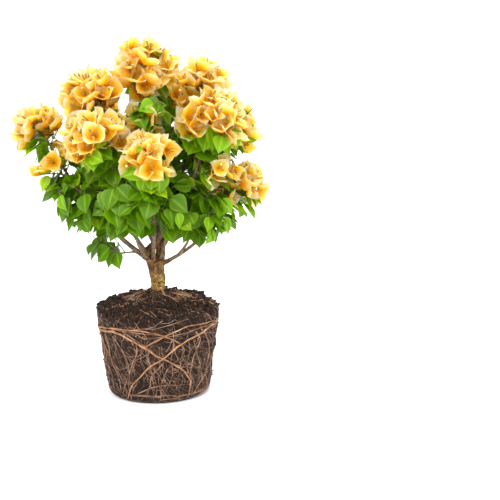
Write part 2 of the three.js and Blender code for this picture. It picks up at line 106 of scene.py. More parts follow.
def material_of(name, roughness, specular):
    """A material, its nodes and its shader."""
    material = bpy.data.materials.new(name)
    material.use_nodes = True
    bsdf = material.node_tree.nodes["Principled BSDF"]
    bsdf.inputs["Roughness"].default_value = roughness
    bsdf.inputs["Specular IOR Level"].default_value = specular
    return material, material.node_tree, bsdf


def give_skin(tree, bsdf, colour, height, relief, strength=1.0):
    """Gives a material its colour and its relief, a height pattern that stands so many metres proud."""
    tree.links.new(colour, bsdf.inputs["Base Color"])
    bump = node_in(tree, "ShaderNodeBump", {"Height": height, "Distance": relief, "Strength": strength})
    tree.links.new(bump.outputs["Normal"], bsdf.inputs["Normal"])


deselect()
bpy.ops.mesh.primitive_plane_add(size=1, location=(0, 0, 0))
cove = bpy.context.object
cove.name = "studio_cove"
bpy.ops.object.mode_set(mode="EDIT")
bpy.ops.transform.resize(value=(COVE_WIDTH, 2 * COVE_DEPTH, 1))
bpy.ops.mesh.select_all(action="DESELECT")
bpy.ops.object.mode_set(mode="OBJECT")
for edge in cove.data.edges:
    edge.select = all(cove.data.vertices[v].co.y > 0 for v in edge.vertices)
bpy.ops.object.mode_set(mode="EDIT")
bpy.ops.mesh.select_mode(type="EDGE")
bpy.ops.mesh.extrude_region_move(TRANSFORM_OT_translate={"value": (0, 0, COVE_HEIGHT)})
bpy.ops.object.mode_set(mode="OBJECT")
bevel = cove.modifiers.new("curve", "BEVEL")
bevel.width = COVE_CURVE
bevel.segments = 16
bpy.ops.object.shade_smooth()
cove_white, _, cove_bsdf = material_of("cove_white", 0.9, 0.1)
cove_bsdf.inputs["Base Color"].default_value = COVE_WHITE
cove.data.materials.append(cove_white)

for name, light in LIGHTS.items():
    bpy.ops.object.light_add(type="AREA", location=light["place"])
    lamp = bpy.context.object
    lamp.name = f"light_{name}"
    lamp.data.size = light["size"]
    lamp.data.energy = light["power"]
    lamp.rotation_euler = (BUSH_MIDDLE - Vector(light["place"])).to_track_quat("-Z", "Y").to_euler()

world = bpy.data.worlds.new("studio_air")
world.use_nodes = True
world.node_tree.nodes["Background"].inputs["Color"].default_value = (1, 1, 1, 1)
world.node_tree.nodes["Background"].inputs["Strength"].default_value = AIR_LIGHT
bpy.context.scene.world = world
bpy.context.scene.view_settings.view_transform = "Standard"

bpy.ops.object.camera_add(
    location=CAMERA_PLACE, rotation=(math.pi / 2 - CAMERA_PITCH, 0, -CAMERA_YAW)
)
camera = bpy.context.object
camera.data.lens = CAMERA_LENS
camera.data.sensor_width = CAMERA_SENSOR
bpy.context.scene.camera = camera


# The compost of the root ball: dark, moist peat that kept the taper of its pot, 25 cm across, with a
# rounded shoulder and a low mound round the trunk. It is turned from a drum, then broken into clods.
FOOT_RADIUS = 0.102
RIM_RADIUS = 0.123
RIM_HEIGHT = 0.179
MOUND_TOP = 0.207
SHOULDER = 0.012
FOOT_EDGE = 0.009
SOIL_GRAIN = 0.0024
CLODS = ((0.03, 0.012), (0.012, 0.009), (0.005, 0.005))
CLODS_ON_SIDE = 0.6
CLODS_FROM, CLODS_FADE = 0.004, 0.012
MOUND_STEPS = ((0.004, 0.008), (0.012, 0.006), (0.034, 0.009), (0.036, 0.011), (0.02, 0.007))
FACING_UP = 0.9


def select_faces(obj, test):
    """Selects, in object mode, the faces whose normal passes the test."""
    obj.data.vertices.foreach_set("select", [False] * len(obj.data.vertices))
    obj.data.edges.foreach_set("select", [False] * len(obj.data.edges))
    obj.data.polygons.foreach_set("select", [test(face.normal) for face in obj.data.polygons])


def displace(obj, scale, strength, group=""):
    """Lumps of about the scale given, pushed in and out by up to half the strength."""
    texture = bpy.data.textures.new(f"{obj.name}_lumps_{scale}", "CLOUDS")
    texture.noise_scale = scale
    texture.noise_depth = 3
    shift = obj.modifiers.new("clods", "DISPLACE")
    shift.texture = texture
    shift.strength = strength
    shift.mid_level = 0.5
    shift.vertex_group = group
    bpy.ops.object.modifier_apply(modifier=shift.name)


deselect()
bpy.ops.mesh.primitive_cylinder_add(
    vertices=96, radius=FOOT_RADIUS, depth=RIM_HEIGHT - SHOULDER, location=(0, 0, 0)
)
soil = bpy.context.object
soil.name = "root_ball_soil"
bpy.ops.object.mode_set(mode="EDIT")
bpy.ops.transform.translate(value=(0, 0, (RIM_HEIGHT - SHOULDER) / 2))
bpy.ops.mesh.select_mode(type="FACE")
bpy.ops.object.mode_set(mode="OBJECT")
select_faces(soil, lambda normal: normal.z > FACING_UP)
bpy.ops.object.mode_set(mode="EDIT")
rim_growth = RIM_RADIUS / FOOT_RADIUS
bpy.ops.transform.resize(value=(rim_growth, rim_growth, 1))
for inwards, upwards in MOUND_STEPS:
    bpy.ops.mesh.inset(thickness=inwards)
    bpy.ops.transform.translate(value=(0, 0, upwards))
bpy.ops.object.mode_set(mode="OBJECT")
select_faces(soil, lambda normal: normal.z < -FACING_UP)
bpy.ops.object.mode_set(mode="EDIT")
bpy.ops.mesh.bevel(offset=FOOT_EDGE, segments=4)
bpy.ops.object.mode_set(mode="OBJECT")
remesh = soil.modifiers.new("grain", "REMESH")
remesh.mode = "VOXEL"
remesh.voxel_size = SOIL_GRAIN
bpy.ops.object.modifier_apply(modifier=remesh.name)
ABOVE_GROUND = "above_ground"
above_ground = soil.vertex_groups.new(name=ABOVE_GROUND)
for vertex in soil.data.vertices:
    share = 1 if vertex.co.z > RIM_HEIGHT - SHOULDER else CLODS_ON_SIDE
    share *= min(1, max(0, (vertex.co.z - CLODS_FROM) / CLODS_FADE))
    above_ground.add([vertex.index], share, "REPLACE")
for scale, strength in CLODS:
    displace(soil, scale, strength, ABOVE_GROUND)
for vertex in soil.data.vertices:
    vertex.co.z = max(vertex.co.z, 0)
bpy.ops.object.shade_smooth()

soil_dark, tree, bsdf = material_of("moist_compost", 0.95, 0.25)
grit = noise_of(tree, 420, 6, 0.8)
soil_colour = ramp_of(tree, noise_of(tree, 55, 10, 0.7), [
    (0.3, (0.006, 0.0035, 0.0025)), (0.5, (0.016, 0.009, 0.006)),
    (0.63, (0.045, 0.023, 0.014)), (0.78, (0.11, 0.055, 0.032)),
])
flecks = ramp_of(tree, grit, [(0.3, (0.35, 0.35, 0.35)), (0.7, (1.7, 1.55, 1.4))])
give_skin(tree, bsdf, multiplied(tree, soil_colour, flecks), grit, 0.0016)
soil.data.materials.append(soil_dark)
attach(soil, "root")
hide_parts("root_ball")


# The roots that bind the compost: tan and orange-brown, pressed flat against the pot that held them. Two
# stout ones cross in front, a band of them circles under the rim, and finer ones wander down and round.
# Each is laid on the broken surface, half sunk in it.
FULL_TURN = 2 * math.pi
SIDE_LENGTH = math.hypot(RIM_RADIUS - FOOT_RADIUS, RIM_HEIGHT)
TOP_LENGTH = RIM_RADIUS - 0.006
ROOT_GAIT = 0.005
ROOT_SMOOTHING = 4
MOUND_CURVE = 1.3
FEELER_FROM, FEELER_REACH = 0.02, 0.05
NEAREST_MIDDLE, LOWEST_SHARE = 0.02, 0.985
STRAY_KEPT, STRAY_ROUND, STRAY_DOWN = 0.8, 0.6, 0.07
# Stout roots, one by one: the radius in millimetres, then the places each runs through, as the compass angle
# in degrees from the right-hand side and the height in millimetres.
STOUT_ROOTS = (
    (2.2, (197, 139), (222, 146), (235, 141), (246, 131), (257, 119), (266, 105), (275, 95), (285, 81),
     (296, 64), (303, 42), (302, 6)),
    (1.3, (234, 152), (242, 144), (250, 133), (257, 123), (264, 112)),
    (2.0, (344, 152), (326, 149), (312, 141), (297, 131), (286, 118), (278, 104), (270, 92), (263, 86),
     (251, 58), (239, 35), (233, 6)),
    (1.6, (190, 138), (205, 149), (221, 152), (233, 155), (254, 156), (266, 152), (281, 139), (291, 125)),
    (1.2, (214, 150), (238, 152), (258, 150), (276, 146)),
    (1.5, (255, 119), (267, 134), (275, 146), (285, 154), (296, 159), (308, 160), (330, 158), (346, 150)),
    (0.9, (247, 158), (263, 162), (269, 170), (274, 177)),
    (0.8, (258, 158), (272, 162), (289, 171), (300, 175)),
    (1.2, (312, 150), (320, 134), (325, 116), (330, 92), (326, 60), (331, 20)),
    (1.2, (306, 146), (313, 128), (311, 112), (305, 90), (302, 60), (306, 24)),
    (1.1, (217, 142), (226, 126), (233, 108), (237, 88), (239, 62), (235, 30), (238, 4)),
    (1.1, (248, 126), (249, 108), (244, 92), (240, 68), (233, 42), (226, 12)),
    (0.9, (261, 108), (253, 99), (246, 92), (235, 74), (226, 66)),
    (1.2, (274, 88), (267, 73), (261, 58), (260, 36), (255, 12)),
    (1.0, (278, 76), (274, 57), (271, 38), (272, 14)),
    (1.1, (246, 20), (254, 29), (266, 38), (278, 40), (292, 36)),
    (0.9, (291, 124), (295, 112), (290, 97), (298, 82), (306, 70), (318, 62)),
    (1.3, (346, 92), (338, 72), (328, 52), (318, 32), (310, 10)),
    (0.8, (282, 138), (280, 122), (276, 108)),
    (1.2, (208, 128), (213, 100), (216, 72), (222, 50), (224, 14)),
    (1.1, (200, 126), (202, 96), (206, 65), (211, 42), (212, 10)),
    (2.0, (8, 150), (40, 140), (75, 112), (110, 72), (150, 36)),
    (1.8, (172, 148), (140, 140), (105, 108), (76, 66), (48, 20)),
    (1.5, (50, 142), (100, 152), (150, 148), (195, 140)),
    (1.2, (20, 148), (24, 110), (18, 60), (26, 8)),
    (1.2, (130, 146), (124, 104), (132, 60), (126, 8)),
)
STOUT_FROM = 1.5
RIM_HAIRS = 420
HAIR_REACH = (0.03, 0.14)
HAIR_RISE, HAIR_LEAN, HAIR_BEND = (0.1, 1.4), 0.9, 0.45
HAIR_LENGTH = (0.003, 0.014)
HAIR_RADIUS = (0.00014, 0.00026)
ROOT_SKINS = {
    "stout": [(0.34, (0.11, 0.045, 0.025)), (0.45, (0.3, 0.135, 0.062)), (0.56, (0.46, 0.24, 0.12)),
              (0.7, (0.68, 0.45, 0.29))],
    "slim": [(0.34, (0.07, 0.036, 0.025)), (0.46, (0.18, 0.098, 0.062)), (0.57, (0.36, 0.2, 0.125)),
             (0.7, (0.66, 0.44, 0.29))],
    "fine": [(0.3, (0.1, 0.055, 0.04)), (0.5, (0.27, 0.16, 0.11)), (0.68, (0.6, 0.44, 0.33))],
}


class Lcg:
    """Linear congruential numbers from 0 to 1: the same seed always gives the same plant."""

    def __init__(self, seed):
        self.state = seed & 0xFFFFFFFF
        self(), self()

    def __call__(self):
        self.state = (self.state * 1664525 + 1013904223) & 0xFFFFFFFF
        return self.state / 4294967296

    def between(self, low, high):
        return low + (high - low) * self()

    def pick(self, limits):
        """A number between two limits, or the one number given."""
        return self.between(*limits) if isinstance(limits, tuple) else limits


def mix(low, high, share):
    """The number, or the place, a share of the way from low to high."""
    return low + (high - low) * share


class Joined:
    """Collects many small shapes and makes one mesh of them. Each vertex keeps a UV of its own shape."""

    def __init__(self):
        self.places, self.faces, self.uvs, self.count = [], [], [], 0

    def add(self, places, faces, uvs=None):
        self.places.append(np.asarray(places, float).reshape(-1, 3))
        self.faces.extend([tuple(i + self.count for i in face) for face in faces])
        self.uvs.append(np.zeros((len(places), 2)) if uvs is None else np.asarray(uvs, float))
        self.count += len(places)

    def tube(self, path, radii, sides):
        """A tube along a path with closed ends, its rings carried along without twist."""
        path = np.asarray(path, float)
        steps = np.diff(path, axis=0)
        heading = np.vstack([steps[:1], steps[1:] + steps[:-1], steps[-1:]])
        heading /= np.linalg.norm(heading, axis=1)[:, None] + 1e-12
        side = np.cross(heading[0], (0.0, 0.0, 1.0) if abs(heading[0][2]) < 0.9 else (1.0, 0.0, 0.0))
        rings = []
        turns = np.linspace(0, FULL_TURN, sides, endpoint=False)
        for place, along, radius in zip(path, heading, radii):
            side = side - along * side.dot(along)
            side /= np.linalg.norm(side) + 1e-12
            over = np.cross(along, side)
            around = np.cos(turns)[:, None] * side + np.sin(turns)[:, None] * over
            rings.append(place + around * np.asarray(radius, float).reshape(-1, 1))
        faces = []
        for ring in range(len(path) - 1):
            for k in range(sides):
                a, b = ring * sides + k, ring * sides + (k + 1) % sides
                faces.append((a, b, b + sides, a + sides))
        last = (len(path) - 1) * sides
        faces.append(tuple(range(sides - 1, -1, -1)))
        faces.append(tuple(range(last, last + sides)))
        lengths = np.concatenate([[0], np.cumsum(np.linalg.norm(steps, axis=1))])
        uvs = [(k / sides, length) for length in lengths for k in range(sides)]
        self.add(np.concatenate(rings), faces, uvs)

    def build(self, name, material, smooth=True):
        mesh = bpy.data.meshes.new(name)
        mesh.from_pydata(np.concatenate(self.places).tolist(), [], self.faces)
        uvs = np.concatenate(self.uvs)
        layer = mesh.uv_layers.new(name="own")
        corners = np.empty(len(mesh.loops), int)
        mesh.loops.foreach_get("vertex_index", corners)
        layer.data.foreach_set("uv", uvs[corners].ravel())
        mesh.polygons.foreach_set("use_smooth", [smooth] * len(mesh.polygons))
        mesh.materials.append(material)
        made = bpy.data.objects.new(name, mesh)
        bpy.context.collection.objects.link(made)
        return made


def on_ball(angle, reach, lift=0.0):
    """The place on the compost at a compass angle, reach along the surface from the middle of the mound."""
    if reach < TOP_LENGTH:
        out, height = reach, mix(MOUND_TOP, RIM_HEIGHT, (reach / TOP_LENGTH) ** MOUND_CURVE)
        lean = (0.15, 1.0)
    else:
        down = min(1.0, (reach - TOP_LENGTH) / SIDE_LENGTH)
        out, height = mix(RIM_RADIUS, FOOT_RADIUS, down), mix(RIM_HEIGHT - 0.004, 0.002, down)
        lean = (1.0, max(0.0, 0.9 - 14 * down))
    away = Vector((math.cos(angle), math.sin(angle), 0))
    normal = (away * lean[0] + Vector((0, 0, lean[1]))).normalized()
    start = away * out + Vector((0, 0, height)) + normal * FEELER_FROM
    hit, place, _, _ = soil.ray_cast(start, -normal, distance=FEELER_REACH)
    return (place if hit else away * out + Vector((0, 0, height))) + normal * lift


def lay_root(bag, stops, radius, sides, sink, taper):
    """A root through stops of (angle, reach), evened out so that it bridges the smallest hollows."""
    path = np.array([on_ball(angle, reach, radius * (1 - 2 * sink)) for angle, reach in stops])
    laid, middle = path.copy(), (0, 0, RIM_HEIGHT / 2)
    for _ in range(ROOT_SMOOTHING):
        path[1:-1] = 0.25 * path[:-2] + 0.5 * path[1:-1] + 0.25 * path[2:]
        sunk = np.linalg.norm(path - middle, axis=1) < np.linalg.norm(laid - middle, axis=1)
        path[sunk] = 0.3 * path[sunk] + 0.7 * laid[sunk]
    shares = np.linspace(0, 1, len(path))
    knots = 1 + 0.14 * np.sin(shares * 23 + radius * 9e4) + 0.1 * np.sin(shares * 51 + stops[0][0] * 7)
    radii = radius * (1 - taper * shares) * knots
    radii[-1] *= 0.4
    path[:, 2] = np.maximum(path[:, 2], radii + 0.0004)
    bag.tube(path, radii, sides)


def side_reach(height):
    """The reach that comes out at a height on the side."""
    return TOP_LENGTH + SIDE_LENGTH * (1 - height / RIM_HEIGHT)


def wander(random, angle, reach, turn, drop, steps, wobble):
    """A root's stops: it goes round by turn and down by drop a step, and strays from that by wobble."""
    stops, stray = [], 0.0
    for _ in range(steps):
        stops.append((angle, reach))
        stray = STRAY_KEPT * stray + random.between(-wobble, wobble)
        angle += turn + stray * STRAY_ROUND
        reach = max(NEAREST_MIDDLE, reach + drop + stray * STRAY_DOWN)
        reach = min(TOP_LENGTH + SIDE_LENGTH * LOWEST_SHARE, reach)
    return stops


def spread(bag, count, stray, radius, sides, sink, taper=0.55, **draws):
    """Roots at random. Each number in draws is a pair of limits, drawn in the order given, or fixed."""
    for _ in range(count):
        drawn = {part: random.pick(limits) for part, limits in draws.items()}
        reach = drawn["reach"] if "reach" in drawn else side_reach(drawn["height"])
        turn = math.copysign(drawn["turn"], drawn["way"]) if "way" in drawn else drawn["turn"]
        stops = wander(random, drawn["angle"], reach, turn, drawn["drop"], int(drawn["steps"]), stray)
        lay_root(bag, stops, random.between(*radius), sides, sink, taper)


random = Lcg(41)
stout, slim, fine = Joined(), Joined(), Joined()
for radius, *stops in STOUT_ROOTS:
    angles, heights = np.radians([stop[0] for stop in stops]), np.array([stop[1] for stop in stops]) / 1000
    lengths = np.hypot(np.diff(angles) * RIM_RADIUS, np.diff(heights))
    knots = np.concatenate([[0], np.cumsum(lengths)])
    places = np.linspace(0, knots[-1], max(8, int(knots[-1] / ROOT_GAIT)))
    stray, laid = 0.0, []
    for angle, height in zip(np.interp(places, knots, angles), np.interp(places, knots, heights)):
        stray = 0.85 * stray + random.between(-0.0008, 0.0008)
        laid.append((angle, side_reach(height + stray)))
    lay_root(stout if radius >= STOUT_FROM else slim, laid, radius / 1000, 8, sink=0.05, taper=0.45)
# A band under the rim, then roots on the mound, down the sides and round the foot.
spread(slim, 16, stray=0.008, radius=(0.0005, 0.001), sides=6, sink=0.15, steps=(14, 46),
       angle=(0, FULL_TURN), height=(0.128, 0.156), turn=(0.03, 0.045), way=(1, -1), drop=(-0.0002, 0.0004))
spread(stout, 34, stray=0.07, radius=(0.0006, 0.0013), sides=6, sink=0.0,
       angle=(0, FULL_TURN), reach=(0.02, 0.09), turn=(-0.05, 0.05), drop=(0.001, 0.005), steps=(8, 22))
spread(slim, 120, stray=0.03, radius=(0.0003, 0.0007), sides=5, sink=0.1, steps=(10, 36),
       angle=(0, FULL_TURN), height=(0.03, 0.16), turn=(-0.03, 0.03), drop=(0.0005, 0.005))
spread(slim, 26, stray=0.028, radius=(0.0004, 0.0009), sides=6, sink=0.1, taper=0.35, steps=(18, 30),
       angle=(0, FULL_TURN), height=(0.12, 0.155), turn=(-0.012, 0.012), drop=(0.004, 0.0055))
spread(slim, 18, stray=0.004, radius=(0.0006, 0.0012), sides=6, sink=0.1, taper=0.4,
       angle=(0, FULL_TURN), height=(0.005, 0.016), turn=0.045, way=(1, -1), drop=0.0, steps=(10, 28))
for _ in range(RIM_HAIRS):
    angle = random.between(0, FULL_TURN)
    start = np.array(on_ball(angle, random.between(*HAIR_REACH)))
    away = np.array((math.cos(angle), math.sin(angle), random.between(*HAIR_RISE)))
    away = away + np.array((-math.sin(angle), math.cos(angle), 0)) * random.between(-HAIR_LEAN, HAIR_LEAN)
    away /= np.linalg.norm(away)
    bend = np.array((random.between(-1, 1), random.between(-1, 1), random.between(-1.2, 0.4)))
    shares = np.linspace(0, 1, 5)[:, None]
    length = random.between(*HAIR_LENGTH)
    hair = start + away * shares * length + bend * shares ** 2 * length * HAIR_BEND
    fine.tube(hair, np.linspace(1, 0.4, 5) * random.between(*HAIR_RADIUS), 4)
# Root hairs on the sides and on the mound.
spread(fine, 620, stray=0.05, radius=(0.00018, 0.00036), sides=4, sink=-0.3, steps=(5, 16),
       angle=(0, FULL_TURN), height=(0.01, 0.17), turn=(-0.04, 0.04), drop=(-0.003, 0.004))
spread(fine, 110, stray=0.06, radius=(0.0003, 0.0007), sides=5, sink=-0.2, steps=(6, 18),
       angle=(0, FULL_TURN), reach=(0.03, 0.115), turn=(-0.05, 0.05), drop=(-0.002, 0.005))

for bag, kind, name in ((stout, "stout", "root_ball_roots"), (slim, "slim", "root_ball_slim_roots"),
                        (fine, "fine", "root_ball_root_hairs")):
    skin, tree, bsdf = material_of(f"root_skin_{kind}", 0.7, 0.3)
    tones = noise_of(tree, 62, 7, 0.8)
    give_skin(tree, bsdf, ramp_of(tree, tones, ROOT_SKINS[kind]), noise_of(tree, 900, 3), 0.0004)
    roots = bag.build(name, skin)
    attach(roots, "root")


# Loose crumbs of peat on the mound and the shoulder, with a few grains of white perlite and chips of bark
# among them. Each is a small lump, pressed into the surface.
CRUMBS = {
    "clump": {"count": 150, "size": (0.003, 0.0075), "colours": [
        (0.3, (0.006, 0.004, 0.003)), (0.55, (0.022, 0.012, 0.008)), (0.72, (0.085, 0.042, 0.025))]},
    "clod": {"count": 620, "size": (0.0018, 0.005), "colours": [
        (0.3, (0.008, 0.005, 0.003)), (0.7, (0.05, 0.026, 0.015))]},
    "crumb": {"count": 1300, "size": (0.0009, 0.0028), "colours": [
        (0.3, (0.012, 0.007, 0.004)), (0.7, (0.085, 0.043, 0.024))]},
    "perlite": {"count": 60, "size": (0.0006, 0.0013), "colours": [
        (0.3, (0.42, 0.37, 0.3)), (0.7, (0.75, 0.7, 0.6))]},
    "chip": {"count": 200, "size": (0.0012, 0.003), "colours": [
        (0.3, (0.09, 0.036, 0.018)), (0.7, (0.27, 0.13, 0.06))]},
}
COARSE = ("clump", "clod")
CHIP_SHAPE = (2.2, 0.7, 0.45)
SHARE_ON_TOP = 0.8
MOUND_REACH = 0.122
COARSE_REACH = (0.07, 0.119)
HEIGHT_ON_SIDE = (0.02, 0.16)
CRUMB_LIFT = 0.35
CRUMB_SQUASH = ((0.6, 1.3), (0.6, 1.3), (0.4, 0.9))
CRUMB_ROUGHNESS = (0.75, 1.25)

deselect()
bpy.ops.mesh.primitive_ico_sphere_add(subdivisions=1, radius=1, location=(0, 0, 0))
lump = bpy.context.object
lump_corners = np.array([v.co for v in lump.data.vertices])
lump_faces = [tuple(f.vertices) for f in lump.data.polygons]
bpy.data.objects.remove(lump)

random = Lcg(77)
for kind, crumb in CRUMBS.items():
    bag = Joined()
    for _ in range(crumb["count"]):
        if random() < SHARE_ON_TOP or kind in COARSE:
            reach = math.sqrt(random.between(0.01, 1.0)) * MOUND_REACH
        else:
            reach = side_reach(random.between(*HEIGHT_ON_SIDE))
        if kind in COARSE:
            reach = random.between(*COARSE_REACH)
        size = random.between(*crumb["size"])
        middle = on_ball(random.between(0, FULL_TURN), reach, size * CRUMB_LIFT)
        middle.z = max(middle.z, size)
        squash = np.array([random.between(*limits) for limits in CRUMB_SQUASH])
        if kind == "chip":
            squash *= CHIP_SHAPE
        roughness = np.array([random.between(*CRUMB_ROUGHNESS) for _ in lump_corners])[:, None]
        turn = Quaternion((random.between(-1, 1), random.between(-1, 1), 1), random.between(0, 6)).to_matrix()
        corners = (lump_corners * roughness * squash * size) @ np.array(turn).T
        corners[:, 2] = np.maximum(corners[:, 2], 0.0002 - middle.z)
        bag.add(corners + np.array(middle), lump_faces)
    look, tree, bsdf = material_of(f"{kind}_grain", 0.95, 0.2)
    grain = noise_of(tree, 160, 5)
    give_skin(tree, bsdf, ramp_of(tree, grain, crumb["colours"]), grain, 0.0006)
    crumbs = bag.build(f"root_ball_{kind}s", look, smooth=False)
    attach(crumbs, "root")


# The trunk: short, leaning a little, yellow-tan and mottled at its foot and brown and ridged above, where it
# forks into two arms. Three surface roots flare from it, and each bough swells where it leaves the wood.
# Sizes are in millimetres here: foot, middle place and tip of each limb, then its radius at foot and tip.
LIMBS = {
    "trunk": ((2, 0, 181), (0, 0, 228), (-5, 0, 266), (12.6, 17)),
    "arm_left": ((-4, 0, 246), (-12, -2, 268), (-17, -4, 288), (12.5, 8.5)),
    "arm_right": ((-1, 1, 246), (5, 6, 274), (7, 10, 302), (12, 8)),
}
FLARE_ROOTS = 3
FLARE_TURN = 0.9
FLARE_REACH = 0.036
FLARE_TOP = 0.209
FLARE_START, FLARE_END, FLARE_SAG = 0.005, -0.009, 0.0025
FLARE_THICK = (0.0068, 0.0022)
COLLAR_REACH = 0.03
COLLAR_SWELL = (1.35, 1.02)
BARK_GRAIN = 0.0009
BARK_RELIEF = ((0.014, 0.0042), (0.006, 0.0026), (0.0022, 0.001))
# Each mass of twigs: its middle and size, the limb its bough leaves and how far along, the place half way
# along the bough (or none, where it runs nearly straight), the bough's radii, and its share of blossom.
SPRAYS = {
    "heart": ((-10, -35, 548), 71, "arm_left", 1, (21, -10, 375), (7.4, 2.6), 0.15),
    "top": ((-21, 0, 632), 84, "arm_right", 1, (8, 26, 455), (7, 2.5), 1),
    "upper_right": ((88, -25, 600), 77, "bough_top", 0.26, (62, 2, 470), (4, 2.1), 1),
    "upper_left": ((-111, -25, 581), 79, "bough_heart", 0.1, (-68, -8, 440), (4.6, 2.2), 1),
    "far_left": ((-220, 5, 521), 68, "trunk", 0.9, (-110, -15, 358), (5.4, 2.1), 0.8),
    "far_right": ((163, 0, 405), 72, "trunk", 0.84, (76, -15, 304), (4.2, 2), 0.7),
    "left_front": ((-104, -105, 508), 71, "arm_left", 0.5, (-66, -60, 372), (4.6, 2.1), 1),
    "centre_front": ((-10, -150, 474), 65, "arm_left", 0.3, (-6, -74, 350), (4.4, 2.1), 1),
    "right_front": ((106, -85, 540), 82, "arm_right", 0.72, (58, -40, 400), (4.8, 2.2), 1),
    "middle_skirt": ((-44, -92, 388), 76, "trunk", 0.8, (-34, -42, 300), (3.8, 2), 0),
    "left_low": ((-189, -22, 456), 60, "bough_far_left", 0.52, None, (2.9, 1.9), 0.6),
    "left_skirt": ((-134, -40, 391), 70, "bough_far_left", 0.34, None, (3.2, 1.9), 0),
    "low_left": ((-90, -10, 294), 56, "bough_far_left", 0.14, None, (2.9, 1.9), 0),
    "right_low": ((110, -70, 456), 64, "bough_far_right", 0.5, None, (2.8, 1.9), 0.7),
    "inner_right": ((50, -66, 436), 57, "bough_right_front", 0.2, None, (2.9, 1.9), 0),
    "low_centre": ((28, -106, 372), 58, "arm_right", 0.3, (18, -56, 322), (2.9, 1.9), 0),
    "right_skirt": ((84, -50, 364), 71, "bough_far_right", 0.26, None, (2.9, 1.9), 0),
    "right_end": ((160, 20, 530), 64, "bough_upper_right", 0.3, None, (2.9, 1.9), 1),
    "back_centre": ((-5, 160, 480), 78, "arm_right", 0.66, (-2, 88, 362), (6, 2.4), 1),
    "back_top": ((25, 105, 592), 78, "bough_back_centre", 0.3, (14, 82, 470), (4, 2.1), 1),
    "back_left": ((-125, 92, 530), 82, "bough_back_centre", 0.2, (-66, 62, 410), (4.2, 2.1), 0.9),
    "back_right": ((120, 95, 530), 80, "bough_back_centre", 0.24, (66, 70, 410), (4.2, 2.1), 0.9),
    "back_low_left": ((-115, 88, 400), 75, "bough_back_left", 0.3, None, (3, 1.9), 0.2),
    "back_low_right": ((112, 84, 402), 73, "bough_back_right", 0.3, None, (3, 1.9), 0.2),
    "back_skirt": ((-4, 112, 366), 68, "bough_back_centre", 0.1, (2, 50, 312), (3.4, 1.9), 0),
}
LIMB_STEP = 0.003
REACH = 0.98
ENTRY_SHARE = 0.72
NEAREST_ENTRY = 0.25
ENTRY_DEPTH = 0.004
ENTRY_STEP = 0.002
BOUGH_BOW = 0.16
UP = np.array((0.0, 0.0, 1.0))


def metres(numbers):
    return np.array(numbers, float) / 1000


def unit(arrow):
    length = math.sqrt(arrow.dot(arrow))
    return arrow / length if length else arrow


class Bent:
    """A limb: the curve from its foot to its tip that passes through via half way along."""

    def __init__(self, foot, via, tip, thick):
        self.foot, self.tip, self.thick = foot, tip, thick
        self.handle = 2 * via - 0.5 * foot - 0.5 * tip

    def place(self, share):
        rest = 1 - share
        return rest * rest * self.foot + 2 * rest * share * self.handle + share * share * self.tip

    def heading(self, share):
        return unit((1 - share) * (self.handle - self.foot) + share * (self.tip - self.handle))

    def radius(self, share):
        return mix(self.thick[0], self.thick[1], share)


MIDDLES = {name: metres(spray[0]) for name, spray in SPRAYS.items()}
SIZES = {name: spray[1] / 1000 for name, spray in SPRAYS.items()}
NEIGHBOURS = {
    name: (
        np.array([MIDDLES[other] for other in SPRAYS if other != name]),
        np.array([SIZES[other] ** 2 for other in SPRAYS if other != name]),
        np.array([2 * np.linalg.norm(MIDDLES[name] - MIDDLES[other]) for other in SPRAYS if other != name]),
    )
    for name in SPRAYS
}


def depth_in_cell(name, places):
    """How deep each place lies in a mass's own space, which ends half way to its neighbours, by size."""
    middles, squares, between = NEIGHBOURS[name]
    from_own = ((places - MIDDLES[name]) ** 2).sum(-1)
    from_others = ((places[:, None] - middles) ** 2).sum(-1)
    walls = ((from_others - squares) - (from_own - SIZES[name] ** 2)[:, None]) / between
    return np.minimum(SIZES[name] * REACH - np.sqrt(from_own), walls.min(1))


limbs = {
    name: Bent(metres(foot), metres(via), metres(tip), metres(thick))
    for name, (foot, via, tip, thick) in LIMBS.items()
}
for name, (_, _, carrier, leaves_at, via, thick, _) in SPRAYS.items():
    foot, along = limbs[carrier].place(leaves_at), limbs[carrier].heading(leaves_at)
    came_from = foot if via is None else metres(via)
    back = unit(came_from - MIDDLES[name])
    reach = SIZES[name] * ENTRY_SHARE
    while reach > NEAREST_ENTRY * SIZES[name]:
        if depth_in_cell(name, (MIDDLES[name] + back * reach)[None])[0] >= ENTRY_DEPTH:
            break
        reach -= ENTRY_STEP
    tip = MIDDLES[name] + back * reach
    if via is None:
        came_from = (foot + tip) / 2 + along * BOUGH_BOW * np.linalg.norm(foot - tip)
    limbs[f"bough_{name}"] = Bent(foot, came_from, tip, metres(thick))


def limb_tube(bag, limb, sides, ridges=0.0):
    """A limb's tube with ridges along it."""
    steps = max(4, int(np.linalg.norm(limb.tip - limb.foot) / LIMB_STEP))
    shares = np.linspace(0, 1, steps + 1)
    path = np.array([limb.place(share) for share in shares])
    radii = []
    for share in shares:
        turns = np.linspace(0, FULL_TURN, sides, endpoint=False)
        round_about = np.sin(5 * turns + 3 * share) + 0.7 * np.sin(9 * turns - 5 * share + 1)
        radii.append(limb.radius(share) * (1 + ridges * round_about))
    bag.tube(path, radii, sides)


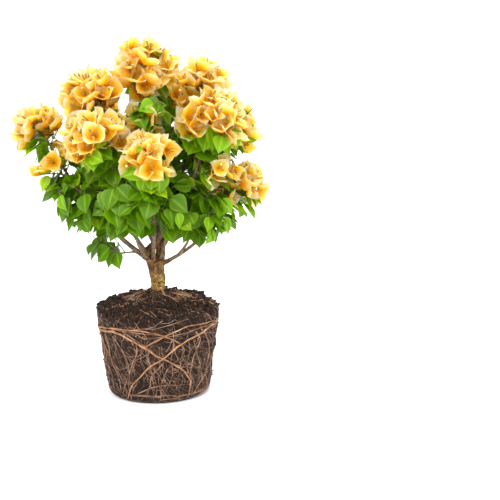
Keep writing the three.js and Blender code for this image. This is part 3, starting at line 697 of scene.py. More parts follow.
wood = Joined()
limb_tube(wood, limbs["trunk"], 48, ridges=0.045)
limb_tube(wood, limbs["arm_left"], 40, ridges=0.05)
limb_tube(wood, limbs["arm_right"], 40, ridges=0.05)
for index in range(FLARE_ROOTS):
    angle = FULL_TURN * index / FLARE_ROOTS + FLARE_TURN
    start = np.array((limbs["trunk"].foot[0], 0, FLARE_TOP + FLARE_START))
    end = start + np.array((math.cos(angle), math.sin(angle), 0)) * FLARE_REACH
    end[2] = FLARE_TOP + FLARE_END
    middle = (start + end) / 2 - UP * FLARE_SAG
    limb_tube(wood, Bent(start, middle, end, FLARE_THICK), 16, ridges=0.03)
for name, (_, _, carrier, *_) in SPRAYS.items():
    if carrier in LIMBS:
        bough = limbs[f"bough_{name}"]
        share = min(1.0, COLLAR_REACH / np.linalg.norm(bough.tip - bough.foot))
        collar = Bent(bough.foot, bough.place(share / 2), bough.place(share),
                      (bough.radius(0) * COLLAR_SWELL[0], bough.radius(share) * COLLAR_SWELL[1]))
        limb_tube(wood, collar, 24)

bark_brown, tree, bsdf = material_of("old_bark", 0.85, 0.25)
place = node_in(tree, "ShaderNodeTexCoord").outputs["Object"]
long_way = node_in(tree, "ShaderNodeMapping", {"Vector": place, "Scale": (1, 1, 0.28)}).outputs["Vector"]
furrows = noise_of(tree, 260, 8, 0.65, long_way)
mottle = noise_of(tree, 190, 6, 0.75, place)
foot_colour = ramp_of(tree, mottle, [
    (0.38, (0.035, 0.017, 0.006)), (0.47, (0.17, 0.085, 0.02)),
    (0.55, (0.42, 0.26, 0.06)), (0.66, (0.66, 0.5, 0.18)),
])
upper_colour = ramp_of(tree, furrows, [
    (0.34, (0.028, 0.012, 0.005)), (0.47, (0.12, 0.055, 0.02)),
    (0.58, (0.3, 0.16, 0.06)), (0.7, (0.48, 0.31, 0.13)),
])
red_skin = ramp_of(tree, mottle, [(0.35, (0.16, 0.06, 0.03)), (0.65, (0.46, 0.22, 0.12))])
height = node_in(tree, "ShaderNodeSeparateXYZ", {"Vector": place}).outputs["Z"]
colour = foot_colour
for start, full, other in ((0.222, 0.25, upper_colour), (0.213, 0.207, red_skin)):
    share = node_in(tree, "ShaderNodeMapRange", {"Value": height, "From Min": start, "From Max": full})
    colour = node_in(tree, "ShaderNodeMix", {
        "Factor": share.outputs["Result"], "A": colour, "B": other,
    }, data_type="RGBA").outputs["Result"]
give_skin(tree, bsdf, colour, furrows, 0.0016)
trunk_bark = wood.build("trunk_bark", bark_brown)
deselect()
trunk_bark.select_set(True)
bpy.context.view_layer.objects.active = trunk_bark
remesh = trunk_bark.modifiers.new("one_skin", "REMESH")
remesh.mode = "VOXEL"
remesh.voxel_size = BARK_GRAIN
bpy.ops.object.modifier_apply(modifier=remesh.name)
for scale, strength in BARK_RELIEF:
    displace(trunk_bark, scale, strength)
bpy.ops.object.shade_smooth()
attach(trunk_bark, "root")
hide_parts("trunk")


# The boughs: grey-brown, round, with a swelling at every old leaf scar. Each leaves its limb from a thicker
# foot and tapers all the way to the mass of twigs that it carries.
BOUGH_STEP = 0.005
BOUGH_SIDES = 12
SCAR_SPACING = 0.034
SCAR_SHIFT = 0.009
SCAR_RISE = 0.1
FOOT_SWELL, FOOT_SWELL_REACH = 0.3, 0.012

boughs = Joined()
for number, name in enumerate(SPRAYS):
    bough = limbs[f"bough_{name}"]
    length = np.linalg.norm(bough.tip - bough.foot)
    steps = int(length / BOUGH_STEP)
    shares = np.linspace(0, 1, steps + 1)
    path = np.array([bough.place(share) for share in shares])
    turns = np.linspace(0, FULL_TURN, BOUGH_SIDES, endpoint=False)
    radii = []
    for share in shares:
        to_scar = ((share * length + number * SCAR_SHIFT) % SCAR_SPACING) / SCAR_SPACING - 0.5
        scar = SCAR_RISE * math.exp(-(to_scar / 0.06) ** 2)
        swell = FOOT_SWELL * math.exp(-share * length / FOOT_SWELL_REACH)
        ridge = 0.05 * np.sin(3 * turns + share * 9 + number) + 0.03 * np.sin(5 * turns - share * 21)
        radii.append(bough.radius(share) * (1 + scar + swell + ridge))
    boughs.tube(path, radii, BOUGH_SIDES)
bough_grey, tree, bsdf = material_of("bough_bark", 0.8, 0.3)
streaks = ramp_of(tree, noise_of(tree, 150, 8, 0.7), [
    (0.3, (0.06, 0.035, 0.02)), (0.5, (0.19, 0.125, 0.075)), (0.7, (0.36, 0.28, 0.18)),
])
give_skin(tree, bsdf, streaks, noise_of(tree, 700, 4), 0.0006)
bough_bark = boughs.build("bough_bark", bough_grey)
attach(bough_bark, "root")
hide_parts(*[f"bough_{name}" for name in SPRAYS])


# The twigs: green-brown shoots of this year's growth. In each mass a stem runs on from its bough, twigs
# spiral round the stem and finer shoots leave the twigs, each where it finds a clear way. The same growth
# settles where every leaf and blossom sits, so that none runs through another.
CROWN_MIDDLE = np.array((-0.03, 0.0, 0.4))
CELL_MARGIN = 0.0007
LIMB_MARGIN = 0.0013
FIRST_SPARE, TWIG_SPARE, SHOOT_SPARE = 0.0009, 0.0015, 0.001
BEADS_PER_LIMB = 90
NEAR_MASS = 0.004
# Which way a mass faces: so much outwards from the middle of the crown, and so much up.
FACE_OF_BLOOM = (0.7, 0.8)
FACE_OF_LEAVES = (0.9, 0.25)
GOLDEN_ANGLE = math.radians(137.5)
TWIG_SPACING = 0.0128
TWIG_TRIES = 10
TWIGS_ALONG = (0.28, 0.97)
TWIG_REACH = 0.7
REACH_VARIES = (0.85, 1.15)
TWIG_SPREAD = (80, 30)
TWIG_THICK = (0.0014, 0.0009)
FACE_PULL = 0.12
CLEAR_FROM = 0.2
TIP_SHARE = 0.95
STEM_REACH = 0.22
STEM_BEND = 0.6
STEM_GAP = 0.0003
STEM_TIP = 0.0019
BLADE_TRIES = 36
SMALLEST_SHARE = 0.62
LEAVES_ON_TWIG = 2
LEAVES_ALONG = (0.25, 0.88)
LEAF_LENGTH = (0.052, 0.066)
LEAF_WIDTH, LEAF_FOLD = 0.78, 0.1
LEAF_PULL = {"sideways": 0.8, "out": (-0.1, 0.7), "along": 0.25, "down": (0.6, 1.3)}
LEAF_FACE = (0.75, 0.8)
LEAF_ROLL = 0.6
HANG_IN_BLOOM = 0.7
BRACT_LENGTH = (0.040, 0.047)
BRACT_WIDTH, BRACT_FOLD = 0.8, 0.06
CUP_OPENING = (44, 62)
FINE_OPENING = (30, 50)
BLOSSOM_PULL = {"along": 0.5, "face": 0.7}
WIDEST_AT = 0.38
# Finer growth than the first: trusses of stalks at the ends of the flowering twigs, and leafy shoots.
# There two blades may overlap by their edges, but not by their cores, a share of their length and width.
CORE_LENGTH, CORE_WIDTH = 0.72, 0.5
TRUSS_STALKS = 24
TRUSSES_ALONG = (0.3, 0.98)
TRUSS_PULL = 0.45
TRUSS_REACH = (0.012, 0.046)
TRUSS_SPREAD = (40, 95)
TRUSS_THICK = (0.0008, 0.0006)
SHOOT_SPACING = {"bloom": 0.0026, "green": 0.0011}
SHOOT_TRIES = 6
SHOOTS_ALONG = (0.15, 0.95)
SHOOT_CLEAR_FROM = 0.25
SHOOT_PULL = 0.2
SHOOT_REACH = (0.2, 0.48)
SHOOT_SPREAD = (35, 85)
SHOOT_THICK = (0.0009, 0.0006)
SHOOT_BLOOM = 0.35
FINE_TRIES = 12
# Leaves over the blossom stay small, and those under it are a little smaller than elsewhere, so that the
# blossom shows. The open masses get no shoots, so that their single leaves hang apart.
IN_BLOOM = 0.5
LEAF_IN_BLOOM, LEAF_UNDER_BLOOM = 0.4, 0.8
BLOOM_FROM, BLOOM_ABOVE = 0.32, -0.3
LEAF_APART = {"bloom": 0.3, "green": 0.42}
OPEN_MASSES = ("low_left",)

bead_places, bead_radii = [], []
for limb in limbs.values():
    for bead in range(BEADS_PER_LIMB + 1):
        bead_places.append(limb.place(bead / BEADS_PER_LIMB))
        bead_radii.append(limb.radius(bead / BEADS_PER_LIMB))
bead_places, bead_radii = np.array(bead_places), np.array(bead_radii)


def cross(a, b):
    return np.stack((
        a[..., 1] * b[..., 2] - a[..., 2] * b[..., 1],
        a[..., 2] * b[..., 0] - a[..., 0] * b[..., 2],
        a[..., 0] * b[..., 1] - a[..., 1] * b[..., 0],
    ), -1)


def distances(triangles, places):
    """The distance from each triangle to each place."""
    nearest = None
    inside = True
    normal = cross(triangles[:, 1] - triangles[:, 0], triangles[:, 2] - triangles[:, 0])[:, None]
    for corner in range(3):
        start = triangles[:, corner][:, None]
        edge = triangles[:, (corner + 1) % 3][:, None] - start
        to_place = places[None] - start
        share = (to_place * edge).sum(-1) / np.maximum((edge * edge).sum(-1), 1e-18)
        gap = to_place - np.clip(share, 0, 1)[..., None] * edge
        square = (gap * gap).sum(-1)
        nearest = square if nearest is None else np.minimum(nearest, square)
        inside = inside & ((cross(edge, to_place) * normal).sum(-1) >= 0)
    size = (normal * normal).sum(-1)
    flat = (to_place * normal).sum(-1) ** 2 / np.maximum(size, 1e-24)
    return np.sqrt(np.where(inside & (size > 1e-20), flat, nearest))


def pierces(ones, others):
    """Whether an edge of any of the first triangles runs through any of the others."""
    starts = ones.reshape(-1, 3)
    reaches = np.roll(ones, -1, axis=1).reshape(-1, 3) - starts
    lengths = np.sqrt((reaches * reaches).sum(-1))
    headings = reaches / np.maximum(lengths, 1e-12)[:, None]
    first, second = others[:, 1] - others[:, 0], others[:, 2] - others[:, 0]
    normals = cross(first, second)
    facing = headings @ normals.T
    sign = np.sign(facing)
    facing = np.abs(facing)
    apart = starts[:, None] - others[None, :, 0]
    one_way = sign * (headings[:, None] * cross(apart, second[None])).sum(-1)
    other_way = sign * (headings[:, None] * cross(first[None], apart)).sum(-1)
    along = -sign * (apart * normals[None]).sum(-1)
    met = (facing > 0) & (one_way >= 0) & (other_way >= 0) & (one_way + other_way <= facing)
    return bool((met & (along >= 0) & (along < lengths[:, None] * facing)).any())


def turned(arrow, axis, angle):
    """The arrow turned about the axis."""
    axis = unit(axis)
    return (arrow * math.cos(angle) + np.cross(axis, arrow) * math.sin(angle)
            + axis * axis.dot(arrow) * (1 - math.cos(angle)))


def sideways(along, angle):
    """A direction at right angles to along, turned round it from the upward side."""
    first = UP - along * along[2]
    if first.dot(first) < 0.01:
        first = np.array((1.0, 0, 0)) - along * along[0]
    return turned(unit(first), along, angle)


def outwards_from(place):
    return unit(np.array((place[0] - CROWN_MIDDLE[0], place[1] - CROWN_MIDDLE[1], 0)))


class Line:
    """The middle line of a stem or twig made in straight steps."""

    def __init__(self, places, thick):
        self.places, self.thick = np.array(places), thick
        self.slivers = np.array([(a, b, b) for a, b in zip(places, places[1:])])

    def at(self, share):
        steps = len(self.places) - 1
        step = min(steps - 1, int(share * steps))
        start, end = self.places[step], self.places[step + 1]
        return mix(start, end, share * steps - step), unit(end - start)


class Blade:
    """A leaf or a bract: where it grows from, which way it points and faces, and its size."""

    def __init__(self, root, along, face, length, width, fold):
        self.root, self.along, self.face, self.length, self.width, self.fold = (
            root, along, face, length, width * length, fold)

    def triangles(self, long=1.0, wide=1.0):
        side = np.cross(self.along, self.face) * self.width / 2 * wide
        waist = self.root + self.along * WIDEST_AT * self.length + self.face * self.fold * self.width
        tip = self.root + self.along * self.length * long
        return [(self.root, waist - side, tip), (self.root, tip, waist + side)]


def leaf_at(root, along, angle, hang, scale, random):
    """A leaf on a twig: it leaves sideways and outwards, and hangs by its own weight."""
    out = outwards_from(root)
    heading = sideways(along, angle) * LEAF_PULL["sideways"] + out * mix(*LEAF_PULL["out"], random())
    heading = unit(heading + along * LEAF_PULL["along"] - UP * hang * mix(*LEAF_PULL["down"], random()))
    face = turned(out * LEAF_FACE[0] + UP * LEAF_FACE[1], heading, mix(-LEAF_ROLL, LEAF_ROLL, random()))
    face = unit(face - heading * face.dot(heading))
    return Blade(root, heading, face, mix(*LEAF_LENGTH, random()) * scale, LEAF_WIDTH, LEAF_FOLD)


def bracts_at(root, axis, scale, random, cup):
    """The three bracts of one flower: a cup that opens along axis."""
    opening = math.radians(mix(*cup, random()))
    turn = random() * FULL_TURN
    length = mix(*BRACT_LENGTH, random()) * scale
    blades = []
    for bract in range(3):
        side = sideways(axis, turn + bract * FULL_TURN / 3)
        along = axis * math.cos(opening) + side * math.sin(opening)
        face = axis * math.sin(opening) - side * math.cos(opening)
        blades.append(Blade(root, along, face, length, BRACT_WIDTH, BRACT_FOLD))
    return blades


class Mass:
    """One mass at the end of a bough, with all that has grown in it so far."""

    def __init__(self, name, index):
        self.name, self.index, self.bloom = name, index, SPRAYS[name][-1]
        self.kind = "bloom" if self.bloom > IN_BLOOM else "green"
        self.middle, self.size = MIDDLES[name], SIZES[name]
        near = np.linalg.norm(bead_places - self.middle, axis=1) < self.size + bead_radii + NEAR_MASS
        self.beads, self.bead_radii = bead_places[near], bead_radii[near]
        self.lines, self.leaves, self.flowers, self.flowering = [], [], [], []
        bough = limbs[f"bough_{name}"]
        onwards = bough.heading(1)
        start = bough.place(1)
        outward, upward = FACE_OF_BLOOM if self.bloom > 0 else FACE_OF_LEAVES
        self.face = unit(outwards_from(self.middle) * outward + UP * upward)
        end = self.middle + self.face * STEM_REACH * self.size
        start_clear = start + onwards * STEM_GAP
        bend = start_clear + onwards * STEM_BEND * np.linalg.norm(start_clear - self.middle)
        places = [start_clear, (start_clear + 2 * bend + end) / 4, end]
        self.stem = Line(places, (bough.thick[1], STEM_TIP))
        self.grown = self.stem.slivers
        self.cores = self.stem.slivers
        self.lines.append(self.stem)
        self.first_growth()
        self.make_room()
        self.trusses()
        if name not in OPEN_MASSES:
            self.shoots()

    def fits(self, triangles, spare):
        if (depth_in_cell(self.name, triangles.reshape(-1, 3)) < CELL_MARGIN + spare).any():
            return False
        return not (distances(triangles, self.beads) < self.bead_radii + LIMB_MARGIN + spare).any()

    def crosses(self, triangles, others):
        return pierces(triangles, others) or pierces(others, triangles)

    def add_blades(self, blades, fine):
        triangles = np.array([corners for blade in blades for corners in blade.triangles()])
        cores = np.array([
            corners for blade in blades for corners in blade.triangles(CORE_LENGTH, CORE_WIDTH)
        ])
        if not self.fits(triangles, 0.0 if fine else FIRST_SPARE):
            return False
        if self.crosses(cores, self.cores) if fine else self.crosses(triangles, self.grown):
            return False
        self.grown = np.concatenate([self.grown, triangles])
        self.cores = np.concatenate([self.cores, cores])
        return True

    def make_room(self):
        """Leaves among blossom stay smaller, which leaves room for the trusses."""
        for leaf in self.leaves if self.kind == "bloom" else ():
            small = LEAF_IN_BLOOM if self.over_bloom(leaf) else LEAF_UNDER_BLOOM
            leaf.length *= small
            leaf.width *= small
        blades = self.leaves + [bract for _, bracts in self.flowers for bract in bracts]
        cores = [corners for blade in blades for corners in blade.triangles(CORE_LENGTH, CORE_WIDTH)]
        self.cores = np.concatenate([line.slivers for line in self.lines] + [np.array(cores)])

    def crowded(self, leaf):
        """Whether a leaf would lie right on top of another."""
        if not self.leaves:
            return False
        middles = np.array([other.root + other.along * other.length / 2 for other in self.leaves])
        apart = np.linalg.norm(middles - leaf.root - leaf.along * leaf.length / 2, axis=1)
        return apart.min() < LEAF_APART[self.kind] * leaf.length

    def over_bloom(self, leaf):
        """Whether a leaf would stand out from a flowering mass and hide its blossom."""
        middle = leaf.root + leaf.along * leaf.length / 2 - self.middle
        outside = math.sqrt(middle.dot(middle)) > BLOOM_FROM * self.size
        return self.kind == "bloom" and outside and middle[2] > BLOOM_ABOVE * self.size

    def add_line(self, line):
        self.lines.append(line)
        self.grown = np.concatenate([self.grown, line.slivers])
        self.cores = np.concatenate([self.cores, line.slivers])

    def first_growth(self):
        twigs = int(self.size / TWIG_SPACING + 0.5)
        for k in range(twigs):
            random = Lcg(self.index * 1000 + k * 10 + 9)
            share = mix(*TWIGS_ALONG, k / (twigs - 1))
            foot, onward = self.stem.at(share)
            spread = math.radians(mix(*TWIG_SPREAD, share))
            turn = random()
            reach = TWIG_REACH * self.size * mix(*REACH_VARIES, random())
            for attempt in range(TWIG_TRIES):
                heading = sideways(onward, (k + attempt) * GOLDEN_ANGLE + turn) * math.sin(spread)
                heading = unit(heading + onward * math.cos(spread) + self.face * FACE_PULL)
                line = Line([foot, foot + heading * reach], TWIG_THICK)
                clear = np.array([(line.at(CLEAR_FROM)[0], line.places[1], line.places[1])])
                if self.fits(clear, TWIG_SPARE) and not self.crosses(clear, self.grown):
                    flower = random() < self.bloom
                    self.clothe(line, random, flower, LEAVES_ON_TWIG, BLADE_TRIES, fine=False)
                    if flower or self.kind == "bloom":
                        self.flowering.append(line)
                    break

    def trusses(self):
        """Stalks round the end of each flowering twig, with a blossom on each."""
        random = Lcg(self.index * 1000 + 6)
        for stalk in range(TRUSS_STALKS):
            for twig in self.flowering:
                foot, onward = twig.at(random.between(*TRUSSES_ALONG))
                spread = math.radians(random.between(*TRUSS_SPREAD))
                reach = random.between(*TRUSS_REACH)
                heading = sideways(onward, stalk * GOLDEN_ANGLE + random()) * math.sin(spread)
                heading = unit(heading + onward * math.cos(spread) + self.face * TRUSS_PULL)
                line = Line([foot, foot + heading * reach], TRUSS_THICK)
                self.clothe(line, random, True, 0, FINE_TRIES, fine=True)

    def shoots(self):
        """Leafy shoots from the stem and the twigs, some of which flower too."""
        random = Lcg(self.index * 1000 + 7)
        carriers = [line for line in self.lines if line.thick[1] > TRUSS_THICK[1]]
        for n in range(int(self.size / SHOOT_SPACING[self.kind])):
            foot, onward = carriers[n % len(carriers)].at(random.between(*SHOOTS_ALONG))
            spread = math.radians(random.between(*SHOOT_SPREAD))
            reach = self.size * random.between(*SHOOT_REACH)
            for attempt in range(SHOOT_TRIES):
                heading = sideways(onward, (n + attempt) * GOLDEN_ANGLE) * math.sin(spread)
                heading = unit(heading + onward * math.cos(spread) + self.face * SHOOT_PULL)
                line = Line([foot, foot + heading * reach], SHOOT_THICK)
                clear = np.array([(line.at(SHOOT_CLEAR_FROM)[0], line.places[1], line.places[1])])
                if self.fits(clear, SHOOT_SPARE) and not self.crosses(clear, self.cores):
                    flower = random() < self.bloom * SHOOT_BLOOM
                    self.clothe(line, random, flower, LEAVES_ON_TWIG, FINE_TRIES, fine=True)
                    break

    def clothe(self, line, random, flower, leaves, tries, fine):
        """A flower or a leaf at the tip of a twig, and leaves along it, each in the first free place."""
        hang = HANG_IN_BLOOM if self.bloom > 0 else 1
        tip = line.at(TIP_SHARE)[0]
        heading = line.at(1)[1]
        before = len(self.leaves) + len(self.flowers)
        for attempt in range(tries):
            effort = attempt / tries
            bearing = heading * BLOSSOM_PULL["along"] + self.face * BLOSSOM_PULL["face"]
            bearing = unit(bearing + sideways(heading, random() * FULL_TURN) * effort)
            scale = mix(1, SMALLEST_SHARE, effort)
            if flower:
                blades = bracts_at(tip, bearing, scale, random, FINE_OPENING if fine else CUP_OPENING)
            else:
                blades = [leaf_at(tip, heading, attempt * GOLDEN_ANGLE, hang, scale, random)]
            if fine and not flower and (self.crowded(blades[0]) or self.over_bloom(blades[0])):
                continue
            if self.add_blades(blades, fine):
                if flower:
                    self.flowers.append((bearing, blades))
                else:
                    self.leaves += blades
                break
        for j in range(leaves):
            for attempt in range(tries):
                scale = mix(1, SMALLEST_SHARE, attempt / tries)
                share = mix(*LEAVES_ALONG, (j + random()) / leaves)
                angle = math.pi * (j + 0.5) + attempt * GOLDEN_ANGLE
                place, along = line.at(share)
                leaf = leaf_at(place, along, angle, hang, scale, random)
                if fine and (self.crowded(leaf) or self.over_bloom(leaf)):
                    continue
                if self.add_blades([leaf], fine):
                    self.leaves.append(leaf)
                    break
        if not fine or len(self.leaves) + len(self.flowers) > before:
            self.add_line(line)


masses = [Mass(name, index) for index, name in enumerate(SPRAYS)]


# The spurs: short leafy side shoots that break from the old wood of the boughs above the fork, where these
# run bare between the masses. They are of the same young wood as the twigs and make one piece with them.
SPUR_SPACING = 0.009
SPURS_FROM = 0.352
SPURS_ALONG = (0.12, 0.98)
SPUR_LEAN = 0.5
SPUR_REACH = (0.014, 0.034)
SPUR_THICK = (0.001, 0.0007)
SPUR_LEAVES = 2
SPUR_LEAVES_ALONG = (0.55, 1.0)
SPUR_TRIES = 9
SPUR_LEAF = (0.6, 0.9)
SPUR_HANG = 0.9
NEAR_WOOD, NEAR_GROWTH = 0.02, 0.12
TWIG_STEP = 0.007
TWIG_SWAY = 0.0007
TWIG_KNOTS = 0.12
TWIG_SIDES = 6

spur_lines, spur_leaves = [], []
random = Lcg(61)
cores = np.concatenate([mass.cores for mass in masses])
for name in SPRAYS:
    bough = limbs[f"bough_{name}"]
    for spur in range(int(np.linalg.norm(bough.tip - bough.foot) / SPUR_SPACING)):
        share = random.between(*SPURS_ALONG)
        foot, along = bough.place(share), bough.heading(share)
        heading = unit(sideways(along, spur * GOLDEN_ANGLE + random()) + along * SPUR_LEAN)
        line = Line([foot, foot + heading * random.between(*SPUR_REACH)], SPUR_THICK)
        grown = False
        for _ in range(SPUR_LEAVES if foot[2] > SPURS_FROM else 0):
            for attempt in range(SPUR_TRIES):
                place, onward = line.at(random.between(*SPUR_LEAVES_ALONG))
                size = random.between(*SPUR_LEAF)
                leaf = leaf_at(place, onward, attempt * GOLDEN_ANGLE, SPUR_HANG, size, random)
                core = np.array(leaf.triangles(CORE_LENGTH, CORE_WIDTH))
                near = np.linalg.norm(bead_places - place, axis=1) < leaf.length + NEAR_WOOD
                if (distances(core, bead_places[near]) < bead_radii[near] + LIMB_MARGIN).any():
                    continue
                close = np.linalg.norm(cores[:, 0] - place, axis=1) < NEAR_GROWTH
                if pierces(core, cores[close]) or pierces(cores[close], core):
                    continue
                cores = np.concatenate([cores, core])
                spur_leaves.append(leaf)
                grown = True
                break
        if grown:
            spur_lines.append(line)

random = Lcg(5)
twigs = Joined()
for lines in [mass.lines for mass in masses] + [spur_lines]:
    for line in lines:
        steps = max(4, int(np.linalg.norm(line.places[-1] - line.places[0]) / TWIG_STEP))
        shares = np.linspace(0, 1, steps + 1)
        path = np.array([line.at(share)[0] for share in shares])
        sway = sideways(line.at(0)[1], random() * 6) * TWIG_SWAY
        path += np.sin(shares * 7 + random() * 6)[:, None] * sway * np.sin(math.pi * shares)[:, None]
        radii = mix(*line.thick, shares) * (1 + TWIG_KNOTS * np.cos(shares * steps * 2.1))
        twigs.tube(path, radii, TWIG_SIDES)
twig_green, tree, bsdf = material_of("young_bark", 0.6, 0.4)
streaks = noise_of(tree, 60, 6, 0.7)
give_skin(tree, bsdf, ramp_of(tree, streaks, [
    (0.32, (0.1, 0.06, 0.025)), (0.5, (0.16, 0.15, 0.045)), (0.68, (0.22, 0.28, 0.07)),
]), streaks, 0.0004)
twig_bark = twigs.build("twigs", twig_green)
FOLIAGE = [f"foliage_{name}" for name in SPRAYS]
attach(twig_bark, "root")
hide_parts(*FOLIAGE)


# The leaves: ovate with a drawn-out tip on a short stalk, glossy, folded along the midrib and hanging tip
# down. Those outside are bright green, those inside the crown a darker copy of it, which is painted shade,
# and the youngest yellow-green.
LEAF_ROWS = (
    (0.0, 0.022), (0.07, 0.018), (0.13, 0.026), (0.17, 0.22), (0.27, 0.42),
    (0.4, 0.5), (0.55, 0.47), (0.7, 0.33), (0.84, 0.15), (0.93, 0.055), (1.0, 0.008),
)
ACROSS = (-1.0, -0.55, 0.0, 0.55, 1.0)
# Leaves deeper in their mass than this, nearer the middle of the crown than these, and this share of the
# heart's get the darker green of painted shade.
SHADE_FROM_DEPTH = 0.022
OUTER_CROWN, OUTER_SPURS = 0.16, 0.2
SHADED_IN_HEART = 0.8
YOUNG_BELOW = 0.042
YOUNG_SHARE, YOUNG_IF_SMALL = 0.035, 0.1
LEAF_DROOP, LEAF_CURL, LEAF_WAVE = (0.04, 0.16), (0.0, 0.25), 0.012
# For each kind: the colour of a band of painted shade across each half of the blade, the body colour, and the
# pale colour of midrib and edge, which at the edge is a painted highlight.
LEAF_KINDS = {
    "bright": ((0.17, 0.37, 0.001), (0.23, 0.46, 0.002), (0.4, 0.62, 0.025)),
    # The darker copy for leaves inside the crown is painted shade.
    "deep": ((0.08, 0.2, 0.001), (0.12, 0.27, 0.001), (0.24, 0.42, 0.01)),
    "young": ((0.26, 0.46, 0.003), (0.36, 0.57, 0.008), (0.5, 0.68, 0.05)),
}


def sheet_faces(rows):
    columns = len(ACROSS)
    return [(r * columns + c, r * columns + c + 1, (r + 1) * columns + c + 1, (r + 1) * columns + c)
            for r in range(rows - 1) for c in range(columns - 1)]


def sheet_of(blade, rows, bend, curl, wave, phase, own_width=1.0):
    """A leaf's or bract's corners: bend lifts its middle off the straight way, curl turns up its edges."""
    side = np.cross(blade.along, blade.face)
    places, uvs = [], []
    for share, half in rows:
        half_width = half * blade.width * own_width
        for across in ACROSS:
            rise = bend(share) * blade.length + curl * half_width * across * across
            rise += wave * blade.length * math.sin(share * 9 + phase + across * 1.3) * across * across
            rise += blade.fold * blade.width * min(1.0, half * 2) * abs(across) * 0.5
            places.append(blade.root + blade.along * share * blade.length
                          + side * across * half_width + blade.face * rise)
            uvs.append((0.5 + across / 2, share))
    return np.array(places), uvs


def maths(tree, operation, *values):
    return node_in(tree, "ShaderNodeMath", dict(enumerate(values)), operation=operation).outputs[0]


def rib_pattern(tree, slant, ribs):
    """From a blade's own UV map: how far out each place lies, how far off the midrib, and the side ribs."""
    uv = node_in(tree, "ShaderNodeUVMap", uv_map="own").outputs["UV"]
    parts = node_in(tree, "ShaderNodeSeparateXYZ", {"Vector": uv})
    out = parts.outputs["Y"]
    off_rib = maths(tree, "ABSOLUTE", maths(tree, "SUBTRACT", parts.outputs["X"], 0.5))
    slanted = maths(tree, "MULTIPLY_ADD", off_rib, slant, out)
    return out, off_rib, maths(tree, "SINE", maths(tree, "MULTIPLY", slanted, ribs))


def thin_look(name, roughness, specular, light_through):
    """A material for a thin blade, part of whose light comes through from behind."""
    look, tree, bsdf = material_of(name, roughness, specular)
    through = node_in(tree, "ShaderNodeBsdfTranslucent")
    blend = node_in(tree, "ShaderNodeMixShader", {"Fac": light_through})
    tree.links.new(bsdf.outputs["BSDF"], blend.inputs[1])
    tree.links.new(through.outputs["BSDF"], blend.inputs[2])
    tree.links.new(blend.outputs["Shader"], tree.nodes["Material Output"].inputs["Surface"])
    return look, tree, bsdf, through


random = Lcg(19)
bags = {kind: Joined() for kind in LEAF_KINDS}
leaf_faces = sheet_faces(len(LEAF_ROWS))
for name, blades in [(mass.name, mass.leaves) for mass in masses] + [("", spur_leaves)]:
    for leaf in blades:
        depth = depth_in_cell(name, (leaf.root + leaf.along * leaf.length)[None])[0] if name else 0.0
        out = np.linalg.norm((leaf.root - CROWN_MIDDLE) * (1, 1, 0.8))
        # Leaves near the middle of the crown, those deep in their mass and most of the heart's get the darker
        # copy: painted shade.
        outer = out > (OUTER_CROWN if name else OUTER_SPURS)
        kind = "bright" if outer and depth < SHADE_FROM_DEPTH else "deep"
        if name == "heart" and random() < SHADED_IN_HEART:
            kind = "deep"
        if random() < YOUNG_SHARE + YOUNG_IF_SMALL * (leaf.length < YOUNG_BELOW):
            kind = "young"
        droop = random.between(*LEAF_DROOP)
        places, uvs = sheet_of(leaf, LEAF_ROWS, lambda share: droop * (share * 0.8 - share * share),
                               random.between(*LEAF_CURL), LEAF_WAVE, random() * 6)
        bags[kind].add(places, leaf_faces, uvs)
for kind, (shade, body, rim) in LEAF_KINDS.items():
    look, tree, bsdf, through = thin_look(f"leaf_{kind}", 0.38, 0.3, 0.3)
    _, off_rib, ribs = rib_pattern(tree, -1.1, 46.0)
    # Across each half of the blade: pale at the midrib, then a band of painted shade, and pale again at the
    # edge as a painted highlight.
    across = ramp_of(tree, off_rib, [
        (0.0, rim), (0.012, rim), (0.035, body), (0.2, shade), (0.46, body), (0.5, rim),
    ])
    veins = ramp_of(tree, ribs, [(0.0, (0.97, 0.97, 0.97)), (0.85, (1, 1, 1)), (1.0, (1.14, 1.08, 1.2))])
    green = multiplied(tree, across, veins)
    give_skin(tree, bsdf, green, ribs, 0.0003, 0.6)
    tree.links.new(green, through.inputs["Color"])
    leaves = bags[kind].build(f"leaves_{kind}", look)
    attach(leaves, "root")
    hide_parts(*FOLIAGE)


# The blossom: three papery bracts in a cup round three slim tube flowers. The bracts are golden at the foot
# and pale peach at the rim, wavy and finely veined, and older blossoms fade to peach all over.
BRACT_ROWS = (
    (0.0, 0.09), (0.08, 0.27), (0.2, 0.43), (0.35, 0.5), (0.5, 0.47),
    (0.65, 0.38), (0.8, 0.235), (0.92, 0.09), (1.0, 0.01),
)
BLOSSOM_KINDS = {
    "golden": ((1.0, 0.37, 0.001), (1.0, 0.58, 0.005), (1.0, 0.77, 0.14), (1.0, 0.93, 0.58)),
    "peach": ((1.0, 0.46, 0.002), (1.0, 0.71, 0.03), (1.0, 0.87, 0.32), (1.0, 0.98, 0.88)),
}
GOLDEN_SHARE = 0.6
BRACT_OWN_WIDTH = 1.2
BRACT_BELLY, BRACT_FLARE, BRACT_CURL, BRACT_WAVE = (0.05, 0.12), (0.02, 0.2), (0.05, 0.4), 0.05
BRACT_MIDDLING = 0.044
LIGHT_THROUGH = (1.0, 0.91, 0.5, 1)
FLOWER_LENGTH = 0.026
FLOWER_VARIES = (0.8, 1.15)
FLOWER_LEAN = (0.12, 0.26)
FLOWER_RADIUS = 0.0017
FLOWER_SHAPE = np.array((0.7, 1.1, 0.8, 0.85, 1.2))
STAR_SHARE = 0.22
STAR_POINT, STAR_NOTCH = 0.0042, 0.0019
STAR_HOLLOW = 0.0006

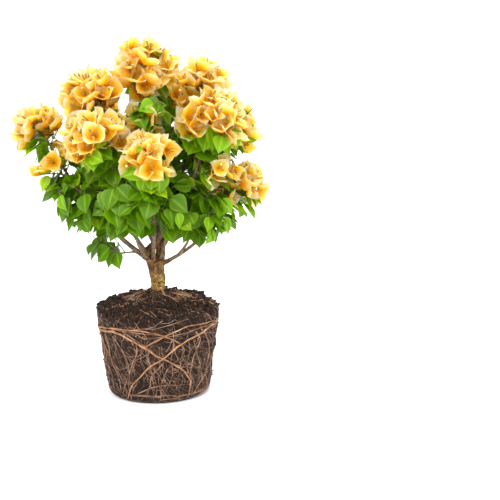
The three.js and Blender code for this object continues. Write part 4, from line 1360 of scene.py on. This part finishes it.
random = Lcg(23)
bags = {kind: Joined() for kind in BLOSSOM_KINDS}
tubes, stars = Joined(), Joined()
bract_faces = sheet_faces(len(BRACT_ROWS))
for mass in masses:
    for axis, bracts in mass.flowers:
        kind = "golden" if random() < GOLDEN_SHARE else "peach"
        for bract in bracts:
            belly = random.between(*BRACT_BELLY)
            flare = random.between(*BRACT_FLARE)
            places, uvs = sheet_of(bract, BRACT_ROWS,
                                   lambda share: -belly * math.sin(math.pi * share) - flare * share ** 3,
                                   random.between(*BRACT_CURL), BRACT_WAVE, random() * 6, BRACT_OWN_WIDTH)
            bags[kind].add(places, bract_faces, uvs)
        scale = bracts[0].length / BRACT_MIDDLING
        for number in range(3):
            lean = sideways(axis, number * 2.1 + random()) * random.between(*FLOWER_LEAN)
            heading = unit(axis + lean)
            start = bracts[0].root + lean * 0.003
            length = FLOWER_LENGTH * scale * random.between(*FLOWER_VARIES)
            shares = np.linspace(0, 1, 5)
            path = start + heading * (shares * length)[:, None] + axis * (shares ** 2 * 0.001)[:, None]
            tubes.tube(path, FLOWER_RADIUS * scale * FLOWER_SHAPE, 6)
            if number == 0 and random() < STAR_SHARE:
                middle = path[-1] + heading * STAR_HOLLOW
                first, second = sideways(heading, 0), sideways(heading, math.pi / 2)
                corners = [middle - heading * STAR_HOLLOW]
                for point in range(10):
                    out = STAR_NOTCH if point % 2 else STAR_POINT
                    turn = point * math.pi / 5
                    corners.append(middle + (first * math.cos(turn) + second * math.sin(turn)) * out * scale)
                stars.add(corners, [(0, 1 + p, 1 + (p + 1) % 10) for p in range(10)])
for kind, (base, heart, body, rim) in BLOSSOM_KINDS.items():
    look, tree, bsdf, through = thin_look(f"bract_{kind}", 0.7, 0.06, 0.52)
    out, off_rib, ribs = rib_pattern(tree, -1.3, 60.0)
    outwards = maths(tree, "MULTIPLY_ADD", off_rib, 0.7, out)
    colour = ramp_of(tree, outwards, [(0.05, base), (0.4, heart), (0.72, body), (1.05, rim)])
    veins = ramp_of(tree, ribs, [(0.0, (1, 1, 1)), (0.8, (1, 0.98, 0.95)), (1.0, (1, 0.9, 0.72))])
    # The crumple pattern is both random tone and the bracts' relief, so the colour it gives darkens the
    # relief's hollows as painted shade and pales its ridges as a painted highlight.
    crumple = noise_of(tree, 130, 5, 0.65)
    crumple_tone_and_shade = ramp_of(tree, crumple, [(0.36, (0.96, 0.84, 0.6)), (0.5, (1, 1, 1)), (0.66, (1, 1.04, 1.25))])
    papery = multiplied(tree, multiplied(tree, colour, veins), crumple_tone_and_shade)
    give_skin(tree, bsdf, papery, maths(tree, "MULTIPLY_ADD", ribs, 0.12, crumple), 0.0022)
    tree.links.new(multiplied(tree, papery, LIGHT_THROUGH), through.inputs["Color"])
    bracts = bags[kind].build(f"bracts_{kind}", look)
    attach(bracts, "root")
    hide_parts(*FOLIAGE)

tube_orange, tree, bsdf = material_of("flower_tube", 0.6, 0.3)
along = node_in(tree, "ShaderNodeSeparateXYZ", {
    "Vector": node_in(tree, "ShaderNodeUVMap", uv_map="own").outputs["UV"],
}).outputs["Y"]
tree.links.new(ramp_of(tree, along, [
    (0.0, (0.7, 0.38, 0.04)), (0.008, (0.46, 0.25, 0.025)), (0.024, (0.27, 0.16, 0.025)),
]), bsdf.inputs["Base Color"])
star_cream, tree, bsdf = material_of("flower_star", 0.6, 0.3)
creases = noise_of(tree, 900, 3)
give_skin(tree, bsdf, ramp_of(tree, creases, [
    (0.35, (0.75, 0.62, 0.22)), (0.6, (0.92, 0.87, 0.56)),
]), creases, 0.0003)
for bag, name, look in ((tubes, "flower_tubes", tube_orange), (stars, "flower_stars", star_cream)):
    flowers = bag.build(name, look)
    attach(flowers, "root")
